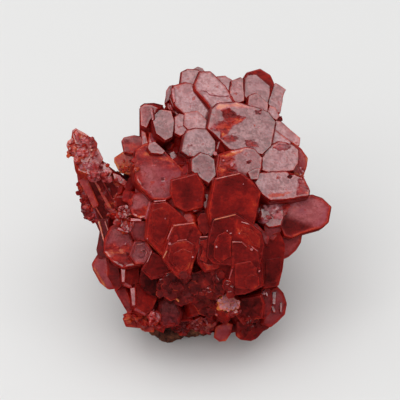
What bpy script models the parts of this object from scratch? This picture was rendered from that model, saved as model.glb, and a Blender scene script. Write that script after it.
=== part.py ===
"""Vanadinite on matrix: a cluster of red hexagonal crystals on a lump of brown rock."""
import math

import bmesh
import bpy
from mathutils import Matrix, Vector, noise

MM = 0.001
GAP_M = 0.3 * MM            # between the crystals and the rock
CENTRE_M = Vector((0.0, 0.0, 17.0)) * MM
LAYOUT_TILT_DEG = 46.0      # the slanted plane the crystal faces are laid out on
EYE_MM = 284.0              # the layout is drawn as seen from this far out
EYE_ACROSS_MM = 0.25
EYE_UP_MM = 0.94
BEVEL_MM = 0.18             # narrow facets round the larger end faces
BEVEL_FROM_MM = 2.2         # crystals at least this far across their centre get them
FLOOR_CLEAR_M = 0.6 * MM    # lowest crystal above the resting plane

CORE_CENTRE_M = Vector((-0.3, 0.6, 16.5)) * MM
CORE_RADII_M = Vector((12.0, 11.5, 12.5)) * MM
CORE_BULGES = [             # direction, extra reach in mm, width
    ((7.0, 9.0, 12.0), 4.5, 0.5),
    ((0.0, 16.0, 3.0), 2.0, 0.5),
    ((0.0, -16.0, -5.0), 4.0, 0.45),
    ((-9.0, -12.0, -9.0), 4.0, 0.4),
    ((6.0, -13.0, -11.0), 5.0, 0.4),
    ((-12.0, -3.0, 0.0), 1.5, 0.5),
]

ROCK_CENTRE_M = Vector((-1.4, 0.6, 0.9)) * MM
ROCK_RADII_M = Vector((9.8, 12.6, 7.0)) * MM
ROCK_BULGES = [
    ((0.0, 9.0, 6.0), 4.0, 0.6),
    ((-4.6, -11.6, -1.0), 1.8, 0.35),
    ((3.0, -9.0, 6.0), 1.5, 0.5),
]
ROCK_ROUGH_M = 1.0 * MM

TILT = math.radians(LAYOUT_TILT_DEG)
RIGHT = Vector((1.0, 0.0, 0.0))
UP = Vector((0.0, math.sin(TILT), math.cos(TILT)))
OUT = Vector((0.0, -math.cos(TILT), math.sin(TILT)))
EYE_M = CENTRE_M + (EYE_ACROSS_MM * RIGHT + EYE_UP_MM * UP + EYE_MM * OUT) * MM

# Each crystal: name, how far its end face stands out from the layout plane, how far its
# axis leans and towards which side (0 right, 90 up), its length, and the outline of the
# end face on the layout plane, across and up from the centre. All lengths in mm.
CRYSTALS = [
    ("T1", 6.7, 22, 80, 3.5, "-2.95,18.8 -2.7,21.0 -1.7,21.5 -0.2,21.4 1.2,20.6 1.0,18.6 -1.0,17.9"),
    ("T1b", 5.0, 22, 80, 3.0, "-0.9,20.3 -0.75,21.4 -0.1,21.75 0.6,21.5 1.1,20.9 0.9,20.0"),
    ("T2", 7.5, 22, 50, 5.0, "0.2,21.05 -0.7,18.9 -0.5,18.1 2.1,15.0 5.9,16.1 4.3,18.8 3.0,20.1 1.95,21.1"),
    ("T3", 8.1, 22, 25, 3.0,
     "-4.0,18.8 -4.3,17.0 -3.7,15.6 -2.1,14.2 1.9,13.2 2.2,15.2 1.0,18.6 -1.9,19.4"),
    ("T3b", 7.4, 22, 50, 3.0, "-4.7,16.0 -4.7,15.3 -3.4,14.3 -2.6,14.5 -3.3,16.0"),
    ("T6", 9.5, 22, 50, 5.0, "-2.2,14.6 -2.35,12.6 -1.4,11.7 1.4,11.8 1.6,13.2 -0.1,14.9"),
    ("T6b", 10.0, 22, 50, 5.0, "-3.7,13.9 -3.75,11.4 -2.8,10.9 -1.6,11.6 -1.9,14.2 -3.0,14.5"),
    ("T7", 11.0, 22, 50, 6.0,
     "-2.3,11.0 -2.8,8.5 -1.6,7.7 1.9,7.4 2.75,8.4 2.75,10.2 1.3,12.1 -0.4,12.3 -1.8,11.9"),
    ("T8", 12.5, 22, 50, 6.0, "-1.25,7.4 -1.2,5.4 0.3,4.2 1.7,3.3 2.95,4.8 2.65,7.4 1.6,8.2 0.3,8.55"),
    ("T4", 8.7, 22, 50, 6.0,
     "2.0,15.2 1.4,12.1 2.7,11.0 4.9,8.8 7.5,8.5 10.0,8.0 11.4,9.3 12.15,13.1 11.0,14.7 9.8,15.2 "
     "6.0,16.3 3.1,16.1"),
    ("T5a", 10.8, 22, 50, 4.5,
     "-7.2,14.9 -7.2,13.3 -6.6,11.3 -5.2,10.2 -4.0,10.8 -3.7,13.2 -4.2,14.9 -5.6,15.1"),
    ("T9", 5.0, 22, 50, 4.0, "3.0,20.3 4.2,20.4 5.4,19.6 5.3,17.4 4.0,17.6 2.6,19.6"),
    ("T10", 5.4, 22, 50, 5.0, "5.1,19.5 6.6,20.15 7.05,19.8 7.15,16.4 5.9,15.9 4.9,17.4"),
    ("T11", 4.5, 22, 50, 6.0,
     "7.2,19.9 7.6,20.6 9.5,20.7 10.4,20.2 11.3,18.9 11.3,17.5 10.9,15.8 7.6,16.6 7.1,17.2"),
    ("T11b", 4.0, 22, 50, 5.0, "7.15,20.2 7.6,20.9 9.6,21.3 11.0,20.2 11.6,19.0 11.3,17.0 8.0,17.0"),
    ("T12", 5.9, 22, 50, 5.0, "7.8,17.3 9.0,17.8 11.0,16.1 10.9,14.6 8.9,13.9 7.6,15.6"),
    ("T13", 3.7, 22, 50, 6.0, "11.2,18.7 12.1,19.1 13.6,18.1 13.2,17.3 12.75,14.6 11.6,14.9 11.0,16.0"),
    ("T14", 5.4, 22, 50, 4.0, "10.9,14.8 11.2,15.6 12.0,15.3 12.6,14.2 12.2,13.5 11.3,14.0"),
    ("T14b", 4.8, 10, 20, 4.0, "12.1,14.0 13.0,14.0 13.15,13.4 12.6,12.9 12.0,13.2"),
    ("T15", 5.6, 22, 50, 6.0, "11.9,13.4 13.0,13.1 14.9,11.4 15.8,10.7 15.7,9.5 14.6,9.5 11.8,11.6"),
    ("T15b", 6.7, 22, 50, 5.0, "11.7,12.2 14.8,9.9 14.6,8.9 12.3,8.8 11.4,9.8"),
    ("T16", 8.3, 22, 50, 7.0,
     "10.0,7.6 11.3,9.4 12.6,10.0 14.5,9.6 15.6,8.7 15.5,6.6 14.9,5.6 11.0,5.3 10.0,5.6"),
    ("T17", 6.4, 25, 350, 6.0, "14.8,10.0 16.2,8.9 17.15,7.5 17.0,6.2 16.4,4.4 14.8,5.0"),
    ("C3", 11.1, 22, 50, 7.0, "3.2,8.1 5.0,8.6 7.5,9.2 8.8,8.9 10.0,7.5 9.8,5.9 9.0,4.0 3.0,4.5 2.8,5.7"),
    ("C3b", 11.5, 24, 50, 4.0, "7.7,5.3 8.9,5.9 9.7,5.9 9.3,4.2 8.2,4.2"),
    ("C4", 10.1, 22, 50, 6.0,
     "8.8,3.7 9.6,5.2 13.5,5.4 16.4,4.4 17.3,2.6 17.2,1.6 13.8,1.1 11.4,0.9 10.0,1.9"),
    ("C1", 14.0, 10, 0, 8.0,
     "2.5,4.3 6.6,5.25 8.4,4.0 9.9,2.2 9.2,-1.0 8.7,-3.3 5.0,-4.4 2.0,-3.2 1.5,-0.8"),
    ("C2", 13.3, 5, 250, 7.0, "-4.35,4.1 -0.2,5.2 1.05,2.8 0.75,-0.3 -2.1,-1.0 -3.75,-0.1 -4.5,2.1"),
    ("L1", 12.0, 13, 55, 7.0,
     "-6.8,9.9 -5.9,9.2 -1.8,5.2 -2.6,3.0 -4.2,1.3 -5.1,0.9 -7.2,1.0 -8.7,2.5 -9.8,4.1 -10.1,6.4 "
     "-9.8,8.8 -8.2,9.8"),
    ("L1b", 12.2, 22, 50, 3.0, "-7.9,9.1 -7.4,8.3 -5.6,8.1 -5.2,8.6 -6.8,10.1 -7.7,9.8"),
    ("L1c", 10.6, 22, 50, 4.0, "-4.5,8.2 -3.8,8.5 -2.8,7.1 -2.4,6.1 -3.0,6.2 -4.2,7.4"),
    ("L2", 8.2, 15, 120, 5.0, "-12.1,10.2 -11.7,10.8 -10.1,11.15 -8.9,10.9 -8.2,9.6 -9.3,8.0 -11.7,8.3"),
    ("L3", 7.0, 14, 175, 4.5, "-13.2,7.5 -11.7,8.5 -9.4,8.5 -9.2,5.2 -10.9,4.95 -12.35,5.3 -12.9,6.4"),
    ("L4", 11.5, 15, 80, 6.0,
     "-10.9,0.4 -10.1,1.9 -8.5,2.2 -7.7,1.4 -7.3,0.6 -8.2,-1.8 -9.1,-2.0 -10.3,-1.4"),
    ("L7", 13.2, 10, 0, 7.0,
     "-7.1,0.55 -5.1,0.75 -3.8,-0.2 -1.4,-2.4 -2.0,-6.0 -5.5,-8.0 -8.2,-5.0 -7.9,-2.2"),
    ("L10", 11.8, 5, 90, 5.0, "-10.3,-2.4 -9.0,-2.2 -7.6,-2.6 -7.2,-4.8 -8.3,-5.6 -10.2,-5.2 -10.7,-3.9"),
    ("L8", 9.8, 12, 120, 5.0,
     "-13.8,-3.2 -12.8,-2.85 -10.6,-4.0 -9.0,-9.2 -11.9,-9.7 -13.5,-8.75 -14.8,-7.2 -14.75,-5.3"),
    ("L9", 11.6, 8, 60, 4.0, "-9.9,-5.3 -8.2,-5.2 -7.1,-7.0 -8.0,-9.0 -9.8,-9.1 -10.8,-7.8"),
    ("L11", 12.2, 5, 250, 5.0, "-7.3,-7.1 -5.3,-8.0 -4.4,-10.0 -5.1,-11.1 -7.4,-11.6 -9.0,-10.0 -8.3,-8.8"),
    ("C5", 14.2, 5, 340, 7.0,
     "-4.0,-3.0 -0.5,-2.55 0.6,-4.5 0.2,-6.8 -0.7,-8.9 -1.2,-10.9 -3.0,-11.4 -4.4,-10.0 -5.6,-8.2 "
     "-4.8,-5.2"),
    ("M1", 13.0, 6, 90, 5.0, "-0.1,-2.0 0.4,-1.2 1.6,-1.1 2.4,-1.9 2.1,-3.8 0.9,-4.6 0.0,-3.4"),
    ("M2", 11.6, 6, 90, 4.0, "-2.3,-0.8 0.0,-0.6 0.3,-1.8 -0.5,-2.9 -1.8,-2.8"),
    ("F1", 14.7, 6, 280, 8.0,
     "2.2,-2.1 5.9,-1.2 8.1,-2.7 9.9,-4.1 10.4,-6.1 9.9,-8.8 6.0,-9.5 2.2,-9.1 1.2,-8.0 1.5,-5.0"),
    ("F2", 14.0, 4, 250, 5.0, "0.1,-4.8 1.6,-4.7 4.0,-5.5 4.5,-9.0 2.4,-10.1 1.0,-10.5 -0.3,-8.8"),
    ("F3", 14.5, 8, 235, 7.0,
     "5.2,-5.5 6.8,-5.5 9.4,-7.1 9.9,-10.0 10.1,-12.6 7.4,-13.8 5.2,-14.0 4.2,-13.1 5.1,-9.7"),
    ("R1", 8.0, 8, 55, 3.5,
     "12.7,-0.3 14.3,0.9 17.75,1.6 19.3,1.25 20.75,-0.1 20.3,-2.5 19.3,-3.4 16.3,-4.2 14.6,-5.0 "
     "13.4,-4.7 12.6,-3.0"),
    ("R1b", 9.6, 20, 60, 5.0, "9.8,0.2 12.9,0.2 13.3,-1.5 12.9,-2.9 11.0,-3.2 9.8,-2.2"),
    ("R1c", 13.5, 15, 45, 4.0, "8.2,-2.6 9.2,-2.9 11.0,-4.8 10.7,-6.0 8.6,-4.4"),
    ("R1d", 9.9, 18, 40, 4.0, "10.3,-2.9 12.6,-2.9 12.9,-3.9 11.6,-5.4 10.4,-4.6"),
    ("R2", 7.0, 5, 330, 5.0,
     "12.9,-4.4 16.3,-4.2 16.0,-5.8 15.3,-6.9 14.2,-7.9 13.4,-8.3 12.2,-7.0 12.4,-5.0"),
    ("R3", 9.5, 15, 330, 6.0,
     "10.0,-4.9 12.7,-3.9 13.6,-6.0 13.45,-8.4 13.2,-10.2 12.6,-12.5 10.2,-13.0 9.6,-9.0"),
    ("G0a", 12.5, 8, 260, 5.0, "-1.2,-10.6 1.0,-10.1 3.2,-10.0 4.4,-12.0 4.0,-13.6 1.2,-14.2 -0.9,-13.4"),
    ("G0b", 13.1, 8, 260, 4.0, "2.2,-8.6 5.6,-8.7 5.4,-12.8 3.9,-13.4 2.2,-11.6"),
    ("G1", 12.3, 5, 250, 4.0,
     "-5.6,-11.8 -4.3,-11.0 -2.9,-11.2 -2.6,-13.6 -4.0,-14.3 -5.6,-13.9 -6.0,-12.8"),
    ("G2", 12.0, 8, 250, 4.0, "-3.3,-11.0 -1.1,-10.8 0.2,-12.0 -0.3,-14.7 -2.9,-15.0 -4.1,-13.3"),
    ("G3", 10.3, 14, 265, 5.0,
     "-1.6,-13.6 1.5,-13.7 4.6,-13.8 6.5,-14.9 6.4,-17.0 3.0,-17.2 0.4,-16.9 -0.5,-16.0"),
    ("B1", 11.6, 24, 60, 3.0,
     "2.9,-15.2 3.3,-14.3 4.1,-14.0 5.2,-14.3 6.3,-14.8 6.3,-15.9 5.1,-16.9 3.9,-16.6"),
    ("B1b", 10.8, 10, 300, 3.0, "4.0,-16.2 6.2,-15.6 6.6,-16.4 5.2,-17.35 4.0,-17.0"),
    ("B2", 3.2, 14, 260, 6.0, "2.8,-18.9 4.3,-18.3 5.3,-18.6 4.9,-20.0 4.2,-21.0 3.3,-21.1 2.5,-20.5"),
    ("B4", 3.5, 10, 200, 5.0,
     "-11.9,-17.6 -11.2,-16.9 -9.8,-16.5 -8.3,-17.3 -8.0,-18.6 -9.2,-19.1 -11.4,-18.9"),
    ("B4b", 3.6, 12, 240, 4.0, "-9.0,-17.2 -7.5,-17.3 -6.7,-18.4 -7.0,-19.7 -8.4,-19.6 -9.3,-18.8"),
    ("B5", 8.0, 10, 250, 5.0,
     "-6.2,-15.0 -4.6,-14.2 -3.3,-15.0 -2.5,-16.6 -3.0,-18.8 -5.6,-19.2 -6.6,-17.4"),
    ("B6", 8.4, 25, 60, 3.0, "-7.1,-16.8 -6.5,-16.3 -5.9,-16.9 -5.9,-17.6 -6.4,-18.1 -7.1,-17.6"),
    ("B7", 6.6, 8, 250, 4.0, "-7.0,-17.9 -5.6,-17.6 -5.0,-18.6 -5.5,-19.8 -6.6,-19.3"),
    ("B8", 4.0, 15, 250, 4.0, "-3.6,-18.0 -2.2,-17.8 -1.2,-18.4 -1.4,-19.6 -2.8,-20.0 -3.9,-19.2"),
    ("B9", 4.4, 15, 280, 5.0, "-1.0,-17.7 1.3,-17.5 2.4,-18.0 2.3,-19.4 0.3,-19.7 -1.2,-19.0"),
    ("B10", 2.2, 8, 260, 6.0, "0.8,-18.4 3.0,-17.6 6.6,-17.4 6.8,-19.4 4.2,-20.0 1.4,-19.6"),
    ("R5", 9.3, 10, 280, 5.0, "6.5,-14.4 9.9,-13.8 10.5,-15.5 10.0,-17.6 8.1,-18.2 7.0,-18.7 5.9,-17.2"),
    ("R6", 3.6, 15, 280, 5.0,
     "6.0,-18.0 10.0,-17.7 11.2,-19.0 10.2,-19.6 9.1,-20.8 8.2,-21.2 6.6,-21.0 5.9,-20.4"),
    ("R4", 5.0, 15, 330, 6.0,
     "12.4,-12.6 13.4,-13.7 13.9,-15.3 13.6,-17.0 12.4,-18.2 11.4,-19.0 10.0,-18.6 10.9,-13.3"),
    ("R4b", 7.2, 35, 0, 4.0, "9.9,-13.0 11.2,-12.9 11.6,-14.5 11.3,-16.6 10.3,-17.6 10.0,-14.5"),
    ("L5a", 8.9, 16, 20, 5.0, "-11.6,-9.5 -9.2,-9.3 -9.2,-12.0 -10.6,-12.5 -11.5,-11.9"),
    ("L5b", 8.8, 16, 20, 5.0, "-9.9,-12.0 -7.2,-12.2 -6.4,-14.5 -7.2,-16.4 -8.1,-17.0 -9.9,-15.9"),
    ("L5d", 9.6, 8, 250, 4.0, "-9.0,-10.0 -6.6,-10.8 -5.8,-12.6 -6.0,-14.6 -8.2,-13.6 -9.4,-12.0"),
    ("L5c", 5.6, 28, 180, 4.0,
     "-12.7,-11.6 -11.6,-12.2 -10.6,-15.0 -10.4,-16.6 -11.1,-16.7 -12.1,-14.9 -13.1,-13.2"),
    ("L6", 5.8, 20, 200, 5.0,
     "-15.0,-7.2 -14.0,-8.4 -13.1,-12.9 -14.2,-13.0 -15.4,-12.0 -16.5,-10.0 -16.7,-9.1 -15.8,-7.6"),
    ("L6a", 6.6, 15, 180, 4.0, "-16.3,-2.2 -14.0,-2.0 -14.0,-8.0 -15.6,-8.2 -15.95,-6.8 -15.45,-4.0"),
    ("L6b", 6.6, 5, 200, 5.0, "-14.3,-8.8 -12.7,-9.3 -11.8,-12.2 -12.9,-13.3 -14.2,-11.0"),
    ("D1", 10.4, 20, 110, 4.0, "-12.4,-0.6 -11.6,0.0 -10.8,-0.1 -10.6,-1.3 -11.6,-1.7 -12.5,-1.4"),
    ("D2", 10.2, 16, 150, 4.0, "-12.8,-1.6 -11.4,-1.5 -10.8,-2.4 -11.8,-3.1 -12.9,-2.8"),
    ("D3", 10.6, 18, 80, 4.0, "-12.2,-2.6 -10.9,-2.1 -10.5,-3.8 -11.8,-4.0"),
    ("A1", 6.4, 6, 300, 4.0,
     "-15.8,8.0 -14.3,6.7 -12.4,5.3 -10.5,3.7 -10.0,2.0 -10.8,0.0 -12.5,-2.5 -14.6,1.3 -16.4,4.4 "
     "-16.7,6.5"),
    ("A2", 5.7, 20, 210, 3.5, "-18.3,6.5 -16.8,6.4 -14.9,1.8 -12.9,-2.4 -13.8,-3.2 -15.4,-2.9 -16.6,1.0"),
    ("A3", 4.9, 20, 200, 3.5,
     "-18.6,5.4 -17.0,3.6 -15.2,-2.0 -16.3,-2.4 -17.8,-2.0 -18.2,0.2 -18.5,2.5 -19.0,4.9"),
    ("A4", 4.4, 15, 100, 3.0, "-18.3,0.9 -17.0,0.4 -16.3,-1.0 -18.2,-0.8"),
    ("H1", 7.0, 20, 70, 3.0, "-19.65,11.8 -19.1,12.15 -17.2,11.0 -17.4,9.4 -19.2,9.7 -19.6,10.8"),
    ("H2", 7.4, 15, 40, 3.5, "-17.4,11.0 -16.3,10.5 -15.8,9.8 -15.8,8.6 -17.2,8.4 -18.0,9.6"),
    ("H3", 7.0, 20, 120, 3.0, "-20.4,10.1 -19.4,10.9 -18.4,9.9 -18.7,8.6 -20.3,8.8 -20.6,9.5"),
    ("H4", 6.6, 15, 160, 3.0, "-20.6,8.4 -20.1,9.1 -18.9,9.1 -18.3,7.9 -19.9,7.8"),
    ("H5", 7.8, 18, 80, 4.0, "-19.1,9.1 -17.3,9.3 -16.5,8.0 -17.2,6.7 -18.9,6.8 -19.4,7.9"),
    ("H6", 7.6, 18, 50, 4.0, "-17.3,8.9 -15.7,9.0 -14.9,7.4 -15.4,6.0 -17.0,6.4"),
    ("H7", 7.3, 22, 90, 4.0, "-19.5,7.2 -18.0,7.4 -17.2,6.2 -17.5,5.1 -18.7,5.5"),
    ("H8", 7.7, 20, 60, 4.0, "-17.6,7.0 -15.6,6.9 -14.9,5.6 -16.2,4.5 -17.6,5.0"),
    ("H9", 7.7, 22, 50, 3.0, "-15.0,6.2 -14.5,6.75 -13.5,5.4 -13.9,4.6 -14.8,4.9"),
    ("H10", 7.2, 20, 60, 3.0, "-13.4,5.3 -12.1,5.25 -10.9,4.1 -11.5,3.4 -13.1,4.2"),
]

# Rods: name, middle of the end face (across, up, out), middle of the inner end,
# half-widths of the three pairs of sides, turn. In mm and degrees.
RODS = [
    ("T5", (-7.3, 15.7, 8.6), (-7.3, 8.5, 6.6), (1.65, 1.85, 1.7), 0),
]

# The far side: middle of the end face (x, y, z) and half-width, in mm. Their axes lean
# out from the middle of the cluster.
BACK = [
    (1.5, 14.0, 28.5, 2.8), (7.5, 13.5, 28.0, 2.9), (-2.4, 12.3, 27.5, 2.5), (4.5, 17.0, 23.5, 3.3),
    (-1.7, 16.3, 22.3, 3.1), (10.0, 13.0, 22.5, 3.0), (-6.3, 12.0, 21.2, 2.7), (-9.6, 7.5, 20.5, 2.5),
    (13.3, 8.5, 20.5, 2.9), (14.8, 2.0, 22.0, 2.6), (14.6, 3.5, 15.5, 2.9), (12.0, 11.5, 14.5, 3.0),
    (6.5, 16.0, 15.5, 3.3), (0.0, 17.3, 15.8, 3.3), (-5.4, 14.6, 15.0, 3.0), (-8.6, 10.2, 14.5, 2.2),
    (-11.6, 4.0, 12.0, 2.6), (-10.4, 7.5, 9.5, 2.5), (-6.3, 12.6, 9.2, 2.8), (0.5, 15.3, 9.0, 2.5),
    (7.0, 13.2, 9.4, 2.9), (12.0, 7.0, 9.2, 2.7), (11.0, 1.0, 6.6, 2.4), (-11.0, 0.0, 8.4, 2.5),
    (10.4, -5.0, 5.6, 2.1), (-9.4, 5.0, 5.6, 2.0), (-12.3, -1.4, 14.6, 2.5), (-11.8, -5.2, 11.0, 2.3),
    (-12.8, 1.2, 17.6, 2.2), (13.2, -3.4, 14.6, 2.8), (13.2, -1.0, 19.2, 2.5), (12.2, -6.6, 10.4, 2.4),
    (12.4, 3.2, 10.6, 2.3), (-7.0, -10.5, 5.8, 1.9), (6.4, -11.5, 5.4, 1.9), (0.6, -13.4, 8.2, 2.0),
    (-3.8, -13.0, 7.2, 1.9), (-7.1, 7.3, 25.9, 1.7), (-9.4, 4.9, 25.0, 1.6), (-11.2, 3.6, 22.6, 1.2),
    (-6.4, 4.0, 28.1, 1.6), (10.8, 8.1, 24.9, 2.2), (-11.2, 6.0, 14.2, 1.3), (-4.2, 7.1, 28.2, 2.0),
    (-8.9, 10.1, 17.8, 1.8), (-2.8, 13.9, 10.6, 1.7), (3.8, 14.2, 12.1, 1.8), (8.6, 9.2, 9.6, 1.7),
    (3.4, 11.2, 8.2, 1.7), (11.8, 6.3, 14.2, 1.8), (-8.3, 9.4, 11.8, 1.8),
]
BACK_LENGTH_MM = 7.0


def numbers(text):
    return [tuple(float(n) for n in pair.split(",")) for pair in text.split()]


def lean_axis(lean_deg, side_deg):
    lean, side = math.radians(lean_deg), math.radians(side_deg)
    sideways = math.cos(side) * RIGHT + math.sin(side) * UP
    return (math.cos(lean) * OUT + math.sin(lean) * sideways).normalized()


def on_layout(across, up):
    return CENTRE_M + (across * RIGHT + up * UP) * MM


def placed(across, up, out):
    """The point seen at (across, up) that stands `out` in front of the layout plane."""
    flat = on_layout(across, up)
    return flat + (EYE_M - flat) * (out / EYE_MM)


def on_plane(across, up, point, normal):
    """The point of a plane seen at (across, up)."""
    ray = on_layout(across, up) - EYE_M
    return EYE_M + ray * ((point - EYE_M).dot(normal) / ray.dot(normal))


def centroid(points):
    """The middle of a flat polygon's area."""
    total, weight = Vector((0.0, 0.0, 0.0)), 0.0
    for one, two in zip(points[1:-1], points[2:]):
        area = (one - points[0]).cross(two - points[0]).length
        total += (points[0] + one + two) * (area / 3.0)
        weight += area
    return total / weight


def add_prism(mesh, face, axis, length, bevel):
    """A closed prism: its end face outside, a narrow facet round it, straight sides inwards."""
    middle = centroid(face)
    normal = (face[1] - face[0]).cross(face[2] - face[1])
    if normal.dot(axis) < 0:
        face = face[::-1]
    rings = []
    if bevel:
        reach = min((point - middle).length for point in face)
        shrink = 1.0 - bevel / reach
        rings.append([middle + (point - middle) * shrink for point in face])
        rings.append([point - axis * bevel * 0.8 for point in face])
    else:
        rings.append(face)
    rings.append([point - axis * length for point in face])
    loops = [[mesh.verts.new(point) for point in ring] for ring in rings]
    mesh.faces.new(loops[0])
    mesh.faces.new(loops[-1][::-1])
    for high, low in zip(loops, loops[1:]):
        for index in range(len(high)):
            after = (index + 1) % len(high)
            mesh.faces.new((high[after], high[index], low[index], low[after]))


def outline_face(out, lean, side, outline):
    axis = lean_axis(lean, side)
    pairs = numbers(outline)
    flat = [Vector((a, u, 0.0)) for a, u in pairs]
    middle = centroid(flat)
    point = placed(middle.x, middle.y, out)
    return [on_plane(a, u, point, axis) for a, u in pairs], axis


def hexagon(middle, axis, widths, turn_deg):
    """An equal-angled hexagon round `middle`, its three pairs of sides at `widths`."""
    across = axis.cross(Vector((0.31, 0.17, 0.93))).normalized()
    other = axis.cross(across)
    turn = math.radians(turn_deg)
    points = []
    for index in range(6):
        one, two = turn + math.radians(60 * index), turn + math.radians(60 * index + 60)
        near, far = widths[index % 3], widths[(index + 1) % 3]
        # Where side `index` and side `index + 1` cross.
        along = (far - near * math.cos(two - one)) / math.sin(two - one)
        x = near * math.cos(one) - along * math.sin(one)
        y = near * math.sin(one) + along * math.cos(one)
        points.append(middle + across * x + other * y)
    return points


def add_front(mesh):
    for _, out, lean, side, length, outline in CRYSTALS:
        face, axis = outline_face(out, lean, side, outline)
        middle = centroid(face)
        reach = min((point - middle).length for point in face)
        bevel = BEVEL_MM * MM if reach > BEVEL_FROM_MM * MM else 0.0
        add_prism(mesh, face, axis, length * MM, bevel)
    for _, end, start, widths, turn in RODS:
        tip, foot = placed(*end), placed(*start)
        axis = (tip - foot).normalized()
        face = hexagon(tip, axis, [w * MM for w in widths], turn)
        add_prism(mesh, face, axis, (tip - foot).length, BEVEL_MM * MM)


def add_back(mesh):
    for index, (x, y, z, half) in enumerate(BACK):
        tip = Vector((x, y, z)) * MM
        way = (tip - CORE_CENTRE_M).normalized()
        sway = Vector((math.sin(index * 2.1), math.cos(index * 1.7), math.sin(index * 0.9)))
        axis = (way + sway * 0.16).normalized()
        widths = [half * MM * f for f in (1.0, 0.92, 1.08)]
        face = hexagon(tip, axis, widths, index * 23)
        add_prism(mesh, face, axis, BACK_LENGTH_MM * MM, BEVEL_MM * MM)


def lump(name, centre, radii, bulges, rough, grow, detail):
    """A rounded body: an ellipsoid with bulges and a rough skin, `grow` thicker all over."""
    mesh = bmesh.new()
    bmesh.ops.create_icosphere(mesh, subdivisions=detail, radius=1.0)
    for vert in mesh.verts:
        way = vert.co.normalized()
        spot = Vector((way.x * radii.x, way.y * radii.y, way.z * radii.z))
        reach = spot.length + grow
        for direction, extra, width in bulges:
            apart = (way - Vector(direction).normalized()).length
            reach += extra * MM * math.exp(-(apart / width) ** 2)
        reach += rough * noise.noise(way * 2.3 + Vector((3.1, 0.4, 7.7)))
        reach += rough * 0.6 * noise.noise(way * 5.1 + Vector((0.7, 8.2, 1.9)))
        vert.co = centre + spot.normalized() * reach
    return finished(name, mesh)


def finished(name, mesh):
    bmesh.ops.recalc_face_normals(mesh, faces=mesh.faces)
    data = bpy.data.meshes.new(name)
    mesh.to_mesh(data)
    mesh.free()
    thing = bpy.data.objects.new(name, data)
    bpy.context.scene.collection.objects.link(thing)
    return thing


def helper(thing):
    thing.hide_render = True
    thing.display_type = "WIRE"
    return thing


def boolean(thing, operation, other, own=False):
    step = thing.modifiers.new(operation.title(), "BOOLEAN")
    step.operation = operation
    step.object = other
    step.solver = "EXACT"
    step.use_self = own


def box(name, low, high):
    mesh = bmesh.new()
    bmesh.ops.create_cube(mesh, size=1.0)
    size, middle = high - low, (high + low) / 2
    place = Matrix.Translation(middle) @ Matrix.Diagonal((*size, 1.0))
    bmesh.ops.transform(mesh, matrix=place, verts=mesh.verts)
    return finished(name, mesh)


def material(name, colour, roughness):
    made = bpy.data.materials.new(name)
    made.use_nodes = True
    shader = made.node_tree.nodes["Principled BSDF"]
    shader.inputs["Base Color"].default_value = (*colour, 1.0)
    shader.inputs["Roughness"].default_value = roughness
    return made


def main():
    for thing in list(bpy.data.objects):
        bpy.data.objects.remove(thing)

    mesh = bmesh.new()
    add_front(mesh)
    add_back(mesh)
    prisms = helper(finished("prisms", mesh))
    far = 0.05
    below = helper(box("below", Vector((-far, -far, -far)), Vector((far, far, FLOOR_CLEAR_M))))
    under = helper(box("under", Vector((-far, -far, -far)), Vector((far, far, 0.0))))
    socket = helper(lump("socket", ROCK_CENTRE_M, ROCK_RADII_M, ROCK_BULGES, ROCK_ROUGH_M, GAP_M, 3))

    crystals = lump("vanadinite_crystals", CORE_CENTRE_M, CORE_RADII_M, CORE_BULGES, 0.3 * MM, 0.0, 3)
    crystals.data.materials.append(material("vanadinite", (0.32, 0.02, 0.012), 0.25))
    boolean(crystals, "UNION", prisms, own=True)
    boolean(crystals, "DIFFERENCE", socket)
    boolean(crystals, "DIFFERENCE", below)

    rock = lump("matrix", ROCK_CENTRE_M, ROCK_RADII_M, ROCK_BULGES, ROCK_ROUGH_M, 0.0, 3)
    rock.data.materials.append(material("brown rock", (0.16, 0.075, 0.045), 0.85))
    boolean(rock, "DIFFERENCE", under)


main()
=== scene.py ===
# Vanadinite on matrix: red six-sided crystals on a lump of brown rock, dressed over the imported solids.
import math
import random

import bmesh
import bpy
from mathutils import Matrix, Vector, noise


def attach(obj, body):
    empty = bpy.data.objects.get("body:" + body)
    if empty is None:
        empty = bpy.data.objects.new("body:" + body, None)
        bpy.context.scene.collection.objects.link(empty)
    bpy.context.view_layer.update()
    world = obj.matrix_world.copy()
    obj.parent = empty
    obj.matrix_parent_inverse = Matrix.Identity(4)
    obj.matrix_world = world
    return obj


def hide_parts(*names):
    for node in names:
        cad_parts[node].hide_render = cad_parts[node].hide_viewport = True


mm = 0.001
noise.seed_set(7)  # noise_vector is otherwise different in each run

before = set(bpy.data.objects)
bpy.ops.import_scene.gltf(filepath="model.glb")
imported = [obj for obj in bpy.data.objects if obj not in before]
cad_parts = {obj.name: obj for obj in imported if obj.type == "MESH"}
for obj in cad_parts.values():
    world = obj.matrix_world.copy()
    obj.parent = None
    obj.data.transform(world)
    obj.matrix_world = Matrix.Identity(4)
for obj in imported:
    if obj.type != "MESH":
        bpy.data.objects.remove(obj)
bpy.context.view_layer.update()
print("frame loaded:", sorted(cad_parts))

# The slanted plane that the crystal faces are laid out on, and the eye it is drawn for.
layout = {"centre": (0.0, 0.0, 17.0), "tilt": 46.0, "eyeAcross": 0.25, "eyeUp": 0.94, "eyeOut": 284.0}

tilt = math.radians(layout["tilt"])
right = Vector((1.0, 0.0, 0.0))
up = Vector((0.0, math.sin(tilt), math.cos(tilt)))
out = Vector((0.0, -math.cos(tilt), math.sin(tilt)))
centre = Vector(layout["centre"]) * mm
eye = centre + (layout["eyeAcross"] * right + layout["eyeUp"] * up + layout["eyeOut"] * out) * mm


def numbers(text):
    return [tuple(float(n) for n in pair.split(",")) for pair in text.split()]


def leanAxis(lean, side):  # degrees away from the eye, and towards which side: 0 right, 90 up
    lean, side = math.radians(lean), math.radians(side)
    sideways = math.cos(side) * right + math.sin(side) * up
    return (math.cos(lean) * out + math.sin(lean) * sideways).normalized()


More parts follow.
